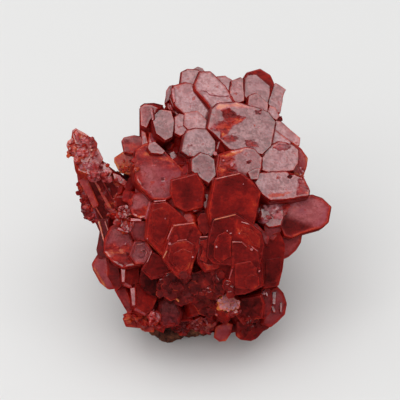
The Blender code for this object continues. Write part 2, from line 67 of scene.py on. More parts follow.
def placed(a, u, o):  # the point seen at a across and u up, o in front of the layout plane, mm
    flat = centre + (a * right + u * up) * mm
    return flat + (eye - flat) * (o / layout["eyeOut"])


def onPlane(a, u, point, normal):  # where the line of sight through a, u meets a plane
    ray = centre + (a * right + u * up) * mm - eye
    return eye + ray * ((point - eye).dot(normal) / ray.dot(normal))


def seenAt(point):  # where a point shows on the layout plane, in mm
    ray = point - eye
    hit = eye + ray * ((centre - eye).dot(out) / ray.dot(out)) - centre
    return hit.dot(right) / mm, hit.dot(up) / mm


def middleOf(points):
    total, weight = Vector((0.0, 0.0, 0.0)), 0.0
    for one, two in zip(points[1:-1], points[2:]):
        area = (one - points[0]).cross(two - points[0]).length
        total += (points[0] + one + two) * (area / 3.0)
        weight += area
    return total / weight


# Each crystal: name, how far its end face stands out, lean and side of its axis, length,
# tone (0 almost black, 1 orange red), sheen (gloss, and a pale pink painted on the end face as the
# lamps' reflection), outline of the end face.
crystalTable = [
    # the stepped group at the top
    ("T1", 6.7, 22, 80, 3.5, 0.42, 0.5,
     "-2.95,18.8 -2.7,21.0 -1.7,21.5 -0.2,21.4 1.2,20.6 1.0,18.6 -1.0,17.9"),
    ("T1b", 5, 22, 80, 3, 0.4, 0.3, "-0.9,20.3 -0.75,21.4 -0.1,21.75 0.6,21.5 1.1,20.9 0.9,20.0"),
    ("T2", 7.5, 22, 50, 5, 0.45, 0.65,
     "0.2,21.05 -0.7,18.9 -0.5,18.1 2.1,15.0 5.9,16.1 4.3,18.8 3.0,20.1 1.95,21.1"),
    ("T3", 8.1, 22, 42, 3, 0.43, 0.59,
     "-4.0,18.8 -4.3,17.0 -3.7,15.6 -2.1,14.2 1.9,13.2 2.2,15.2 1.0,18.6 -1.9,19.4"),
    ("T3c", 8.3, 22, 185, 2.5, 0.4, 0.6, "-5.0,17.9 -4.6,18.6 -4.1,18.8 -4.4,16.9 -5.2,16.0"),
    ("T5e", 9.9, 22, 50, 2.5, 0.5, 0.7, "-7.6,11.3 -7.1,11.6 -6.6,10.6 -6.7,9.9 -7.7,9.8"),
    ("T5c", 10.7, 22, 185, 1.2, 0.46, 0.3,
     "-9.1,15.4 -8.4,15.9 -7.4,15.8 -6.3,15.3 -6.7,14.7 -7.6,13.4 -8.1,12.2 -9.0,12.6"),
    ("T5d", 9.6, 22, 185, 1.2, 0.46, 0.65, "-8.9,11.7 -8.3,11.3 -7.9,9.8 -8.8,9.5"),
    ("T3b", 8, 22, 50, 3, 0.5, 0.7, "-4.7,16.0 -4.7,15.3 -3.4,14.3 -2.6,14.5 -3.3,16.0"),
    ("T6", 9.5, 22, 50, 5, 0.5, 0.58, "-2.2,14.6 -2.35,12.6 -1.4,11.7 1.4,11.8 1.6,13.2 -0.1,14.9"),
    ("T6b", 10, 22, 50, 5, 0.46, 0.45, "-3.7,13.9 -3.75,11.4 -2.8,10.9 -1.6,11.6 -1.9,14.2 -3.0,14.5"),
    ("T7", 11, 22, 50, 6, 0.36, 0.51,
     "-2.3,11.0 -2.8,8.5 -1.6,7.7 1.9,7.4 2.75,8.4 2.75,10.2 1.3,12.1 -0.4,12.3 -1.8,11.9"),
    ("T8", 12.5, 22, 50, 6, 0.35, 0.29,
     "-1.25,7.4 -1.2,5.4 0.3,4.2 1.7,3.3 2.95,4.8 2.65,7.4 1.6,8.2 0.3,8.55"),
    ("T4", 8.7, 22, 50, 6, 0.4, 0.42,
     "2.0,15.2 1.4,12.1 2.7,11.0 4.9,8.8 7.5,8.5 10.0,8.0 11.4,9.3 12.15,13.1 11.0,14.7 9.8,15.2 "
     "6.0,16.3 3.1,16.1"),
    ("T5a", 10.8, 22, 50, 4.5, 0.38, 0.4,
     "-7.2,14.9 -7.2,13.3 -6.6,11.3 -5.2,10.2 -4.0,10.8 -3.7,13.2 -4.2,14.9 -5.6,15.1"),
    ("T9", 5, 22, 50, 4, 0.48, 0.63, "3.0,20.3 4.2,20.4 5.4,19.6 5.3,17.4 4.0,17.6 2.6,19.6"),
    ("T10", 5.4, 22, 50, 5, 0.5, 0.45, "5.1,19.5 6.6,20.15 7.05,19.8 7.15,16.4 5.9,15.9 4.9,17.4"),
    ("T11", 4.5, 22, 50, 6, 0.45, 0.45,
     "7.2,19.9 7.6,20.6 9.5,20.7 10.4,20.2 11.3,18.9 11.3,17.5 10.9,15.8 7.6,16.6 7.1,17.2"),
    ("T11b", 4, 10, 50, 5, 0.5, 0, "7.15,20.2 7.6,20.9 9.7,21.5 11.3,20.5 11.9,19.1 11.4,17.0 8.0,17.0"),
    ("T12", 5.9, 22, 50, 5, 0.5, 0.35, "7.8,17.3 9.0,17.8 11.0,16.1 10.9,14.6 8.9,13.9 7.6,15.6"),
    ("T13", 3.7, 22, 50, 6, 0.44, 0.45,
     "11.2,18.7 12.1,19.1 13.6,18.1 13.2,17.3 12.75,14.6 11.6,14.9 11.0,16.0"),
    ("T14", 5.4, 22, 50, 4, 0.5, 0.6, "10.9,14.8 11.2,15.6 12.0,15.3 12.6,14.2 12.2,13.5 11.3,14.0"),
    ("T14b", 4.8, 10, 20, 4, 0.4, 0.1, "12.1,14.0 13.0,14.0 13.15,13.4 12.6,12.9 12.0,13.2"),
    ("T15", 5.6, 22, 50, 6, 0.53, 0.55,
     "11.9,13.4 13.0,13.1 14.9,11.4 15.8,10.7 15.7,9.5 14.6,9.5 11.8,11.6"),
    ("T15b", 6.7, 22, 50, 5, 0.53, 0.78, "11.7,12.2 14.8,9.9 14.6,8.9 12.3,8.8 11.4,9.8"),
    ("T16", 8.3, 22, 50, 7, 0.42, 0.5,
     "10.0,7.6 11.3,9.4 12.6,10.0 14.5,9.6 15.6,8.7 15.5,6.6 14.9,5.6 11.0,5.3 10.0,5.6"),
    ("T17", 6.4, 25, 350, 6, 0.64, 0.72, "14.8,10.0 16.2,8.9 17.15,7.5 17.0,6.2 16.4,4.4 14.8,5.0"),
    ("C3", 11.1, 22, 50, 7, 0.44, 0.34,
     "3.2,8.1 5.0,8.6 7.5,9.2 8.8,8.9 10.0,7.5 9.8,5.9 9.0,4.0 3.0,4.5 2.8,5.7"),
    ("C3b", 11.5, 24, 50, 4, 0.48, 0.23, "7.7,5.3 8.9,5.9 9.7,5.9 9.3,4.2 8.2,4.2"),
    ("C4", 10.1, 22, 50, 6, 0.45, 0.5,
     "8.8,3.7 9.6,5.2 13.5,5.4 16.4,4.4 17.3,2.6 17.2,1.6 13.8,1.1 11.4,0.9 10.0,1.9"),
    # two of the plates in the middle
    ("C1", 14, 10, 0, 8, 0.515, 0,
     "2.5,4.3 6.6,5.25 8.4,4.0 9.9,2.2 9.2,-1.0 8.7,-3.3 5.0,-4.4 2.0,-3.2 1.5,-0.8"),
    ("C2", 13.3, 5, 250, 7, 0.57, 0, "-4.35,4.1 -0.2,5.2 1.05,2.8 0.75,-0.3 -2.1,-1.0 -3.75,-0.1 -4.5,2.1"),
    # the left side
    ("L1", 12, 13, 55, 7, 0.51, 0.7,
     "-6.8,9.9 -5.9,9.2 -1.8,5.2 -2.6,3.0 -4.2,1.3 -5.1,0.9 -7.2,1.0 -8.7,2.5 -9.8,4.1 -10.1,6.4 "
     "-9.8,8.8 -8.2,9.8"),
    ("L1b", 12.2, 22, 50, 3, 0.4, 0.35, "-7.9,9.1 -7.4,8.3 -5.6,8.1 -5.2,8.6 -6.8,10.1 -7.7,9.8"),
    ("L1c", 10.6, 22, 50, 4, 0.4, 0.4, "-4.5,8.2 -3.8,8.5 -2.8,7.1 -2.4,6.1 -3.0,6.2 -4.2,7.4"),
    ("L2", 8.2, 15, 120, 5, 0.58, 0.15,
     "-12.1,10.2 -11.7,10.8 -10.1,11.15 -8.9,10.9 -8.2,9.6 -9.3,8.0 -11.7,8.3"),
    ("L3", 7, 14, 175, 4.5, 0.76, 0.67,
     "-13.2,7.5 -11.7,8.5 -9.4,8.5 -9.2,5.2 -10.9,4.95 -12.35,5.3 -12.9,6.4"),
    ("L4", 11.5, 8, 80, 6, 0.5, 0.7,
     "-10.9,0.4 -10.1,1.9 -8.5,2.2 -7.7,1.4 -7.3,0.6 -8.2,-1.8 -9.1,-2.0 -10.3,-1.4"),
    ("L7", 13.2, 10, 0, 7, 0.57, 0,
     "-7.1,0.55 -5.1,0.75 -3.8,-0.2 -1.4,-2.4 -2.0,-6.0 -5.5,-8.0 -8.2,-5.0 -7.9,-2.2"),
    ("L10", 11.8, 5, 90, 5, 0.4, 0.2,
     "-10.3,-2.4 -9.0,-2.2 -7.6,-2.6 -7.2,-4.8 -8.3,-5.6 -10.2,-5.2 -10.7,-3.9"),
    ("L8", 9.8, 12, 120, 5, 0.47, 0.5,
     "-13.8,-3.2 -12.8,-2.85 -10.6,-4.0 -9.0,-9.2 -11.9,-9.7 -13.5,-8.75 -14.8,-7.2 -14.75,-5.3"),
    ("L9", 11.6, 8, 60, 4, 0.54, 0.7, "-9.9,-5.3 -8.2,-5.2 -7.1,-7.0 -8.0,-9.0 -9.8,-9.1 -10.8,-7.8"),
    ("L11", 12.2, 5, 250, 5, 0.38, 0,
     "-7.3,-7.1 -5.3,-8.0 -4.4,-10.0 -5.1,-11.1 -7.4,-11.6 -9.0,-10.0 -8.3,-8.8"),
    # the other plates in the middle
    ("C5", 14.2, 5, 340, 7, 0.555, 0,
     "-4.0,-3.0 -0.5,-2.55 0.6,-4.5 0.2,-6.8 -0.7,-8.9 -1.2,-10.9 -3.0,-11.4 -4.4,-10.0 -5.6,-8.2 "
     "-4.8,-5.2"),
    ("M1", 13, 6, 90, 5, 0.46, 0, "-0.1,-2.0 0.4,-1.2 1.6,-1.1 2.4,-1.9 2.1,-3.8 0.9,-4.6 0.0,-3.4"),
    ("M2", 11.6, 6, 90, 4, 0.22, 0, "-2.3,-0.8 0.0,-0.6 0.3,-1.8 -0.5,-2.9 -1.8,-2.8"),
    ("F1", 14.7, 6, 280, 8, 0.4, 0,
     "2.2,-2.1 5.9,-1.2 8.1,-2.7 9.9,-4.1 10.4,-6.1 9.9,-8.8 6.0,-9.5 2.2,-9.1 1.2,-8.0 1.5,-5.0"),
    ("F2", 14, 4, 250, 5, 0.415, 0, "0.1,-4.8 1.6,-4.7 4.0,-5.5 4.5,-9.0 2.4,-10.1 1.0,-10.5 -0.3,-8.8"),
    ("F3", 14.5, 8, 235, 7, 0.45, 0,
     "5.2,-5.5 6.8,-5.5 9.4,-7.1 9.9,-10.0 10.1,-12.6 7.4,-13.8 5.2,-14.0 4.2,-13.1 5.1,-9.7"),
    # the crystal that sticks out at the right, and those below it
    ("R1", 8, 8, 55, 3.5, 0.53, 0.87,
     "12.7,-0.3 14.2,0.9 15.0,1.5 16.3,1.45 17.75,1.75 19.3,1.25 20.75,-0.1 20.3,-2.5 19.3,-3.4 "
     "16.3,-4.2 14.6,-5.0 13.4,-4.7 12.6,-3.0"),
    ("R1b", 9.6, 20, 60, 5, 0.48, 0.32, "9.8,0.2 12.9,0.2 13.3,-1.5 12.9,-2.9 11.0,-3.2 9.8,-2.2"),
    ("R1c", 13.5, 15, 45, 4, 0.4, 0.4, "8.2,-2.6 9.2,-2.9 11.0,-4.8 10.7,-6.0 8.6,-4.4"),
    ("R1d", 9.9, 18, 40, 4, 0.42, 0.2, "10.3,-2.9 12.6,-2.9 12.9,-3.9 11.6,-5.4 10.4,-4.6"),
    ("R2", 7, 5, 330, 5, 0.58, 0.35,
     "12.9,-4.4 16.3,-4.2 16.0,-5.8 15.3,-6.9 14.2,-7.9 13.4,-8.3 12.2,-7.0 12.4,-5.0"),
    ("R3", 9.5, 15, 330, 6, 0.5, 0,
     "10.0,-4.9 12.7,-3.9 13.6,-6.0 13.45,-8.4 13.2,-10.2 12.6,-12.5 10.2,-13.0 9.6,-9.0"),
    # the chipped crystals of the lower middle
    ("G0a", 12.5, 8, 260, 5, 0.42, 0,
     "-1.2,-10.6 1.0,-10.1 3.2,-10.0 4.4,-12.0 4.0,-13.6 1.2,-14.2 -0.9,-13.4"),
    ("G0b", 13.1, 8, 260, 4, 0.42, 0, "2.2,-8.6 5.6,-8.7 5.4,-12.8 3.9,-13.4 2.2,-11.6"),
    ("G1", 12.3, 5, 250, 4, 0.4, 0,
     "-5.6,-11.8 -4.3,-11.0 -2.9,-11.2 -2.6,-13.6 -4.0,-14.3 -5.6,-13.9 -6.0,-12.8"),
    ("G2", 12, 8, 250, 4, 0.42, 0, "-3.3,-11.0 -1.1,-10.8 0.2,-12.0 -0.3,-14.7 -2.9,-15.0 -4.1,-13.3"),
    ("G3", 10.3, 14, 265, 5, 0.58, 0.25,
     "-1.6,-13.6 1.5,-13.7 4.6,-13.8 6.5,-14.9 6.4,-17.0 3.0,-17.2 0.4,-16.9 -0.5,-16.0"),
    # along the bottom
    ("B1", 11.6, 24, 60, 3, 0.4, 1.0,
     "2.9,-15.2 3.3,-14.3 4.1,-14.0 5.2,-14.3 6.3,-14.8 6.3,-15.9 5.1,-16.9 3.9,-16.6"),
    ("B1b", 10.8, 10, 300, 3, 0.4, 0.7, "4.0,-16.2 6.2,-15.6 6.6,-16.4 5.2,-17.35 4.0,-17.0"),
    ("B2", 3.2, 14, 260, 6, 0.52, 0.5,
     "2.8,-18.9 4.3,-18.3 5.3,-18.6 4.9,-20.0 4.2,-21.0 3.3,-21.1 2.5,-20.5"),
    ("B4", 3.5, 10, 200, 5, 0.52, 0.08,
     "-11.9,-17.6 -11.2,-16.9 -9.8,-16.5 -8.3,-17.3 -8.0,-18.6 -9.2,-19.1 -11.4,-18.9"),
    ("B4b", 3.6, 12, 240, 4, 0.6, 0.3, "-9.0,-17.2 -7.5,-17.3 -6.7,-18.4 -7.0,-19.7 -8.4,-19.6 -9.3,-18.8"),
    ("B5", 8, 10, 250, 5, 0.39, 0.18,
     "-6.2,-15.0 -4.6,-14.2 -3.3,-15.0 -2.5,-16.6 -3.0,-18.8 -5.6,-19.2 -6.6,-17.4"),
    ("B6", 8.4, 25, 60, 3, 0.5, 0.6, "-7.1,-16.8 -6.5,-16.3 -5.9,-16.9 -5.9,-17.6 -6.4,-18.1 -7.1,-17.6"),
    ("B7", 6.6, 8, 250, 4, 0.5, 0, "-7.0,-17.9 -5.6,-17.6 -5.0,-18.6 -5.5,-19.8 -6.6,-19.3"),
    ("B8", 4, 15, 250, 4, 0.46, 0, "-3.6,-18.0 -2.2,-17.8 -1.2,-18.4 -1.4,-19.6 -2.8,-20.0 -3.9,-19.2"),
    ("B9", 4.4, 15, 280, 5, 0.4, 0.1, "-1.0,-17.7 1.3,-17.5 2.4,-18.0 2.3,-19.4 0.3,-19.7 -1.2,-19.0"),
    ("B10", 2.2, 8, 260, 6, 0.35, 0, "0.8,-18.4 3.0,-17.6 6.6,-17.4 6.8,-19.4 4.2,-20.0 1.4,-19.6"),
    # low at the right
    ("R5", 9.3, 10, 280, 5, 0.46, 0,
     "6.5,-14.4 9.9,-13.8 10.5,-15.5 10.0,-17.6 8.1,-18.2 7.0,-18.7 5.9,-17.2"),
    ("R6", 3.6, 15, 280, 5, 0.49, 0,
     "6.0,-18.0 10.0,-17.7 11.2,-19.0 10.2,-19.6 9.1,-20.8 8.2,-21.2 6.6,-21.0 5.9,-20.4"),
    ("R4", 5, 15, 330, 6, 0.52, 0.35,
     "12.4,-12.6 13.4,-13.7 13.9,-15.3 13.6,-17.0 12.4,-18.2 11.4,-19.0 10.0,-18.6 10.9,-13.3"),
    ("R4b", 7.2, 35, 0, 4, 0.42, 0.15, "9.9,-13.0 11.2,-12.9 11.6,-14.5 11.3,-16.6 10.3,-17.6 10.0,-14.5"),
    # low at the left
    ("L5a", 8.9, 16, 20, 5, 0.53, 0, "-11.6,-9.5 -9.2,-9.3 -9.2,-12.0 -10.6,-12.5 -11.5,-11.9"),
    ("L5b", 8.8, 16, 20, 5, 0.51, 0, "-9.9,-12.0 -7.2,-12.2 -6.4,-14.5 -7.2,-16.4 -8.1,-17.0 -9.9,-15.9"),
    ("L5d", 9.6, 8, 250, 4, 0.22, 0, "-9.0,-10.0 -6.6,-10.8 -5.8,-12.6 -6.0,-14.6 -8.2,-13.6 -9.4,-12.0"),
    ("L5c", 5.6, 28, 180, 4, 0.5, 0.15,
     "-12.7,-11.6 -11.6,-12.2 -10.6,-15.0 -10.4,-16.6 -11.1,-16.7 -12.1,-14.9 -13.1,-13.2"),
    ("L6", 5.8, 20, 200, 5, 0.49, 0.6,
     "-15.0,-7.2 -14.0,-8.4 -13.1,-12.9 -14.2,-13.0 -15.4,-12.0 -16.5,-10.0 -16.7,-9.1 -15.8,-7.6"),
    ("L6a", 6.6, 15, 180, 4, 0.28, 0.1,
     "-16.3,-2.2 -14.0,-2.0 -14.0,-8.0 -15.6,-8.2 -15.95,-6.8 -15.45,-4.0"),
    ("L6b", 6.6, 5, 200, 5, 0.45, 0.05, "-14.3,-8.8 -12.7,-9.3 -11.8,-12.2 -12.9,-13.3 -14.2,-11.0"),
    # small ones beside the arm
    ("D1", 10.4, 20, 110, 4, 0.67, 0.4, "-12.4,-0.6 -11.6,0.0 -10.8,-0.1 -10.6,-1.3 -11.6,-1.7 -12.5,-1.4"),
    ("D2", 10.2, 16, 150, 4, 0.67, 0.43, "-12.8,-1.6 -11.4,-1.5 -10.8,-2.4 -11.8,-3.1 -12.9,-2.8"),
    ("D3", 10.6, 18, 80, 4, 0.6, 0.35, "-12.2,-2.6 -10.9,-2.1 -10.5,-3.8 -11.8,-4.0"),
    # the arm
    ("A1", 6.4, 6, 300, 4, 0.42, 0,
     "-15.8,7.7 -14.4,6.2 -12.7,4.9 -11.0,3.6 -10.2,2.0 -10.8,0.0 -12.5,-2.5 -14.6,1.3 -16.4,4.4 "
     "-16.7,6.5"),
    ("A2", 5.7, 20, 210, 3.5, 0.3, 0,
     "-18.3,6.5 -16.8,6.4 -14.9,1.8 -12.9,-2.4 -13.8,-3.2 -15.4,-2.9 -16.6,1.0"),
    ("A3", 4.9, 20, 200, 3.5, 0.36, 0.65,
     "-18.6,5.4 -17.0,3.6 -15.2,-2.0 -16.3,-2.4 -17.8,-2.0 -18.2,0.2 -18.5,2.5 -19.0,4.9"),
    ("A4", 4.4, 15, 100, 3, 0.4, 0.05, "-18.3,0.9 -17.0,0.4 -16.3,-1.0 -18.2,-0.8"),
    # the arm's head
    ("H1", 7, 20, 70, 3, 0.66, 0.12, "-19.65,11.8 -19.1,12.15 -17.2,11.0 -17.4,9.4 -19.2,9.7 -19.6,10.8"),
    ("H2", 7.4, 15, 40, 3.5, 0.62, 0.22, "-17.4,11.0 -16.3,10.5 -15.8,9.8 -15.8,8.6 -17.2,8.4 -18.0,9.6"),
    ("H3", 7, 20, 120, 3, 0.66, 0.12, "-20.4,10.1 -19.4,10.9 -18.4,9.9 -18.7,8.6 -20.3,8.8 -20.6,9.5"),
    ("H4", 6.6, 15, 160, 3, 0.8, 0, "-20.6,8.4 -20.1,9.1 -18.9,9.1 -18.3,7.9 -19.9,7.8"),
    ("H5", 7.8, 18, 80, 4, 0.62, 0.22, "-19.1,9.1 -17.3,9.3 -16.5,8.0 -17.2,6.7 -18.9,6.8 -19.4,7.9"),
    ("H6", 7.6, 18, 50, 4, 0.6, 0.25, "-17.3,8.9 -15.7,9.0 -14.9,7.4 -15.4,6.0 -17.0,6.4"),
    ("H7", 7.3, 22, 90, 4, 0.62, 0.2, "-19.5,7.2 -18.0,7.4 -17.2,6.2 -17.5,5.1 -18.7,5.5"),
    ("H8", 7.7, 20, 60, 4, 0.6, 0.2, "-17.6,7.0 -15.6,6.9 -14.9,5.6 -16.2,4.5 -17.6,5.0"),
    ("H9", 7.7, 22, 50, 3, 0.5, 0.5, "-15.0,6.2 -14.5,6.75 -13.5,5.4 -13.9,4.6 -14.8,4.9"),
    ("H10", 7.2, 20, 60, 3, 0.55, 0.3, "-13.4,5.2 -12.3,4.8 -11.1,3.8 -11.6,3.2 -13.1,4.1"),
]

# The long crystal that stands upright beside the top group: places in layout mm, half-widths in mm.
upright = {
    "tip": (-7.3, 15.7, 8.6), "foot": (-7.3, 8.5, 6.6), "halves": (1.65, 1.85, 1.7), "turn": 0.0,
    "tone": 0.36, "sheen": 0.12,
}

# Places on an end face that differ: outline, soft edge, how deep, how jagged, tone,
# sheen (pale sheen painted on, and gloss).
patches = {
    "T4": [
        ("3.5,14.9 4.9,15.2 6.0,14.2 7.0,13.9 5.6,13.3 5.0,12.5 4.1,13.4", 0.15, 0.08, 0.12, 0.57, 0.0),
        ("1.2,11.7 3.2,13.2 5.0,13.4 7.4,13.8 6.8,13.1 5.2,12.4 4.4,11.0 3.6,10.6 3.4,11.7",
         0.2, 0.05, 0.10, 0.74, 0.05),
        ("3.4,10.6 4.8,11.0 6.2,10.6 5.6,10.0 4.4,9.9", 0.2, 0.05, 0.10, 0.48, 0.1),
        ("2.2,15.5 3.4,16.1 6.4,16.3 9.6,15.6 9.0,15.2 5.4,15.5 3.0,15.0", 0.3, 0.0, 0.0, 0.92, 0.35),
        ("8.9,14.9 9.8,14.9 9.7,14.4 9.0,14.3", 0.1, 0.05, 0.10, 0.5, 0.1),
        ("7.4,10.1 8.6,10.3 9.4,9.5 8.6,9.0 7.6,9.3", 0.2, 0.05, 0.10, 0.45, 0.2),
        ("1.5,12.0 2.7,14.9 3.3,14.8 3.0,12.6 2.6,11.2", 0.3, 0.0, 0.0, 0.55, 0.35),
    ],
    "C3": [
        ("2.9,4.5 3.0,7.6 4.0,8.3 5.4,8.0 5.6,7.2 4.6,6.6 5.6,6.2 6.4,4.4", 0.4, 0.12, 0.12, 0.56, 0.0),
        ("3.0,7.6 4.0,8.5 6.0,8.9 7.8,9.2 6.4,8.2 4.6,7.7", 0.2, 0.0, 0.0, 0.85, 0.1),
        ("7.5,6.9 8.2,7.1 8.2,6.7 7.6,6.6", 0.1, 0.05, 0.1, 0.4, 0.0),
        ("6.0,4.4 6.4,5.4 7.8,5.3 8.0,4.2", 0.2, 0.0, 0.0, 0.5, 0.05),
    ],
    "T2": [
        ("-0.7,18.0 1.1,17.9 2.0,17.3 3.5,17.1 4.8,17.2 5.9,16.1 2.1,15.0", 0.05, 0.06, 0.0, None, None),
    ],
    "T16": [("11.5,9.3 12.6,8.7 14.2,9.0 14.6,9.8 12.6,10.3", 0.1, -0.06, 0.05, None, None)],
    "C4": [
        ("10.2,1.6 11.4,1.3 13.0,1.5 14.6,2.2 13.0,2.0 11.4,2.0", 0.2, 0.0, 0.0, 0.75, 0.05),
        ("13.9,4.6 15.0,5.2 15.2,4.8 14.3,4.3", 0.08, 0.3, 0.1, 0.4, 0.0),
        ("15.4,1.2 15.8,4.8 17.4,4.6 17.4,1.4", 0.3, 0.05, 0.1, 0.5, 0.25),
    ],
    "L1": [
        ("-9.9,8.6 -8.0,10.0 -5.0,8.6 -2.6,6.2 -3.6,5.4 -6.4,6.2 -8.4,6.4 -9.9,5.6",
         0.6, 0.0, 0.03, 0.60, 0.2),
        ("-8.4,8.4 -5.8,8.2 -4.4,7.0 -6.0,7.2 -8.0,7.8", 0.25, 0.0, 0.03, 0.70, 0.2),
        ("-10.2,6.4 -9.0,6.0 -8.4,3.0 -9.4,3.4", 0.5, 0.0, 0.02, 0.60, 0.1),
        ("-5.9,4.5 -5.3,4.5 -5.3,3.9 -5.8,3.9", 0.1, 0.05, 0.0, 0.36, 0.2),
    ],
    # Painted light: a lighter orange part on C1 and F1 and a darker middle on C2 stand for light shining
    # through the thin plates.
    "C1": [("7.2,1.6 8.6,3.2 9.6,1.6 9.2,-1.2 7.6,-1.4", 0.8, 0.0, 0.0, 0.66, 0.0)],
    "C2": [("-3.0,2.6 -1.2,3.4 -0.2,2.0 -0.6,0.4 -2.2,-0.2 -3.0,0.8", 0.8, 0.0, 0.0, 0.44, 0.0)],
    "F1": [("5.8,-2.4 8.0,-3.2 9.4,-4.6 9.0,-7.4 7.2,-6.0 5.8,-4.4", 0.6, 0.0, 0.0, 0.62, 0.0)],
    # Painted shade and sheen: R1's lower part is deep red with no sheen, standing for a part of the face
    # turned from the lamp; its upper part has full sheen.
    "R1": [
        ("12.0,-5.6 12.2,-2.6 13.6,-1.4 15.4,-2.0 17.6,-2.8 18.2,-4.2 15.4,-6.2", 0.7, 0.0, 0.0, 0.48, 0.0),
        ("12.9,0.1 14.2,0.6 16.4,1.2 16.6,0.0 14.8,-0.9 13.2,-1.0", 0.5, 0.03, 0.08, 0.62, 1.0),
    ],
    "R1b": [
        ("9.2,0.2 9.7,0.4 9.8,-1.6 9.3,-2.2", 0.3, 0.05, 0.10, 0.42, 0.1),
        ("11.4,-1.2 13.0,-0.4 13.2,-1.8 12.2,-2.2", 0.3, 0.04, 0.10, 0.55, 0.6),
    ],
    "L8": [
        ("-14.8,-6.4 -13.2,-5.6 -12.4,-6.4 -11.2,-5.9 -9.6,-6.6 -9.0,-9.4 -12.0,-9.9 -15.0,-7.4",
         0.3, 0.06, 0.14, 0.60, 0.05),
        ("-13.9,-6.9 -12.9,-6.3 -11.8,-6.7 -11.4,-7.6 -12.4,-7.3 -13.4,-7.6", 0.12, 0.10, 0.10, 0.70, 0.15),
    ],
    "L4": [("-11.4,-0.1 -9.6,-0.5 -8.6,-0.1 -7.2,0.1 -7.6,-2.2 -11.0,-2.2", 0.25, 0.05, 0.06, 0.66, 0.0)],
    "L2": [("-11.4,9.6 -10.2,9.9 -9.4,9.2 -10.4,8.8", 0.3, 0.0, 0.0, 0.78, 0.1)],
    "L3": [("-12.6,6.2 -11.0,6.8 -9.6,6.0 -10.2,4.9 -12.2,5.4", 0.5, 0.0, 0.0, 0.80, 0.0)],
    "R5": [("6.6,-17.0 8.4,-17.4 9.9,-16.9 9.0,-18.2 6.6,-18.4", 0.3, 0.0, 0.0, 0.55, 0.0)],
}

# Parts of an end face that fall away: a point on the fold, its side, its lean, how soft it is.
swells = {"L1": [(-6.4, 4.6, 300.0, 4.0, 2.0)]}

# Rings of growth on an end face: (inset, drop) in mm, outermost first.
terraces = {
    "L9": [(0.35, 0.14), (0.45, 0.12), (0.4, 0.1)], "G1": [(0.3, 0.12), (0.4, 0.1)],
    "G2": [(0.35, 0.12), (0.4, 0.1)], "L8": [(0.6, 0.08)], "C5": [(0.5, 0.04)], "F2": [(0.45, 0.06)],
    "R5": [(0.6, 0.1)], "L11": [(0.5, 0.08)], "B5": [(0.6, 0.1)],
}

# Thin plates of later growth: crystal they lie on, how proud, tone, sheen (painted, and gloss), outline.
plateTable = [
    ("C5", 0.10, 0.56, 0.0,
     "-4.7,-6.0 -3.4,-5.4 -1.8,-5.2 -0.5,-5.9 -0.6,-8.4 -1.5,-10.2 -3.0,-10.8 -4.9,-8.4"),
    ("C5", 0.20, 0.55, 0.0, "-3.9,-7.4 -2.4,-6.6 -1.0,-7.2 -1.2,-8.8 -2.6,-9.9 -3.9,-8.8"),
    ("F1", 0.16, 0.53, 0.0, "3.0,-4.4 4.2,-3.9 5.3,-4.6 5.2,-8.0 3.4,-9.0 2.3,-8.2 2.3,-5.8"),
    ("F1", 0.12, 0.58, 0.0, "6.4,-4.2 7.6,-4.6 8.6,-6.1 9.6,-6.6 9.7,-4.9 8.2,-3.6 6.9,-3.2"),
    ("F2", 0.14, 0.50, 0.0, "0.2,-5.4 1.4,-5.2 1.7,-7.6 1.2,-8.9 0.2,-8.4 0.7,-6.8"),
    ("F2", 0.10, 0.48, 0.0, "0.6,-8.8 1.9,-9.2 3.6,-8.8 3.0,-9.8 1.3,-10.1"),
    ("F3", 0.12, 0.50, 0.0, "5.6,-8.9 8.2,-8.4 9.3,-9.6 9.4,-12.4 7.4,-13.2 5.6,-13.0"),
    ("F3", 0.22, 0.47, 0.0, "7.2,-11.3 8.3,-10.6 9.5,-11.2 9.6,-12.3 8.6,-13.1 7.4,-12.6"),
    ("L7", 0.10, 0.52, 0.0, "-7.3,-0.6 -5.6,0.0 -4.4,-1.2 -4.4,-3.8 -5.8,-6.6 -7.3,-5.2"),
    ("R3", 0.12, 0.40, 0.0, "10.6,-8.4 12.9,-8.0 12.8,-10.4 12.2,-11.9 10.4,-12.2"),
]


def insideDistance(a, u, outline):  # above 0 inside the outline, in mm
    inside, nearest = False, math.inf
    for (x1, y1), (x2, y2) in zip(outline, outline[1:] + outline[:1]):
        if (y1 > u) != (y2 > u) and a < (x2 - x1) * (u - y1) / (y2 - y1) + x1:
            inside = not inside
        span = (x2 - x1) ** 2 + (y2 - y1) ** 2
        t = max(0.0, min(1.0, ((a - x1) * (x2 - x1) + (u - y1) * (y2 - y1)) / span))
        nearest = min(nearest, math.hypot(a - x1 - t * (x2 - x1), u - y1 - t * (y2 - y1)))
    return nearest if inside else -nearest


def smooth(value, low, high):
    t = max(0.0, min(1.0, (value - low) / (high - low)))
    return t * t * (3.0 - 2.0 * t)


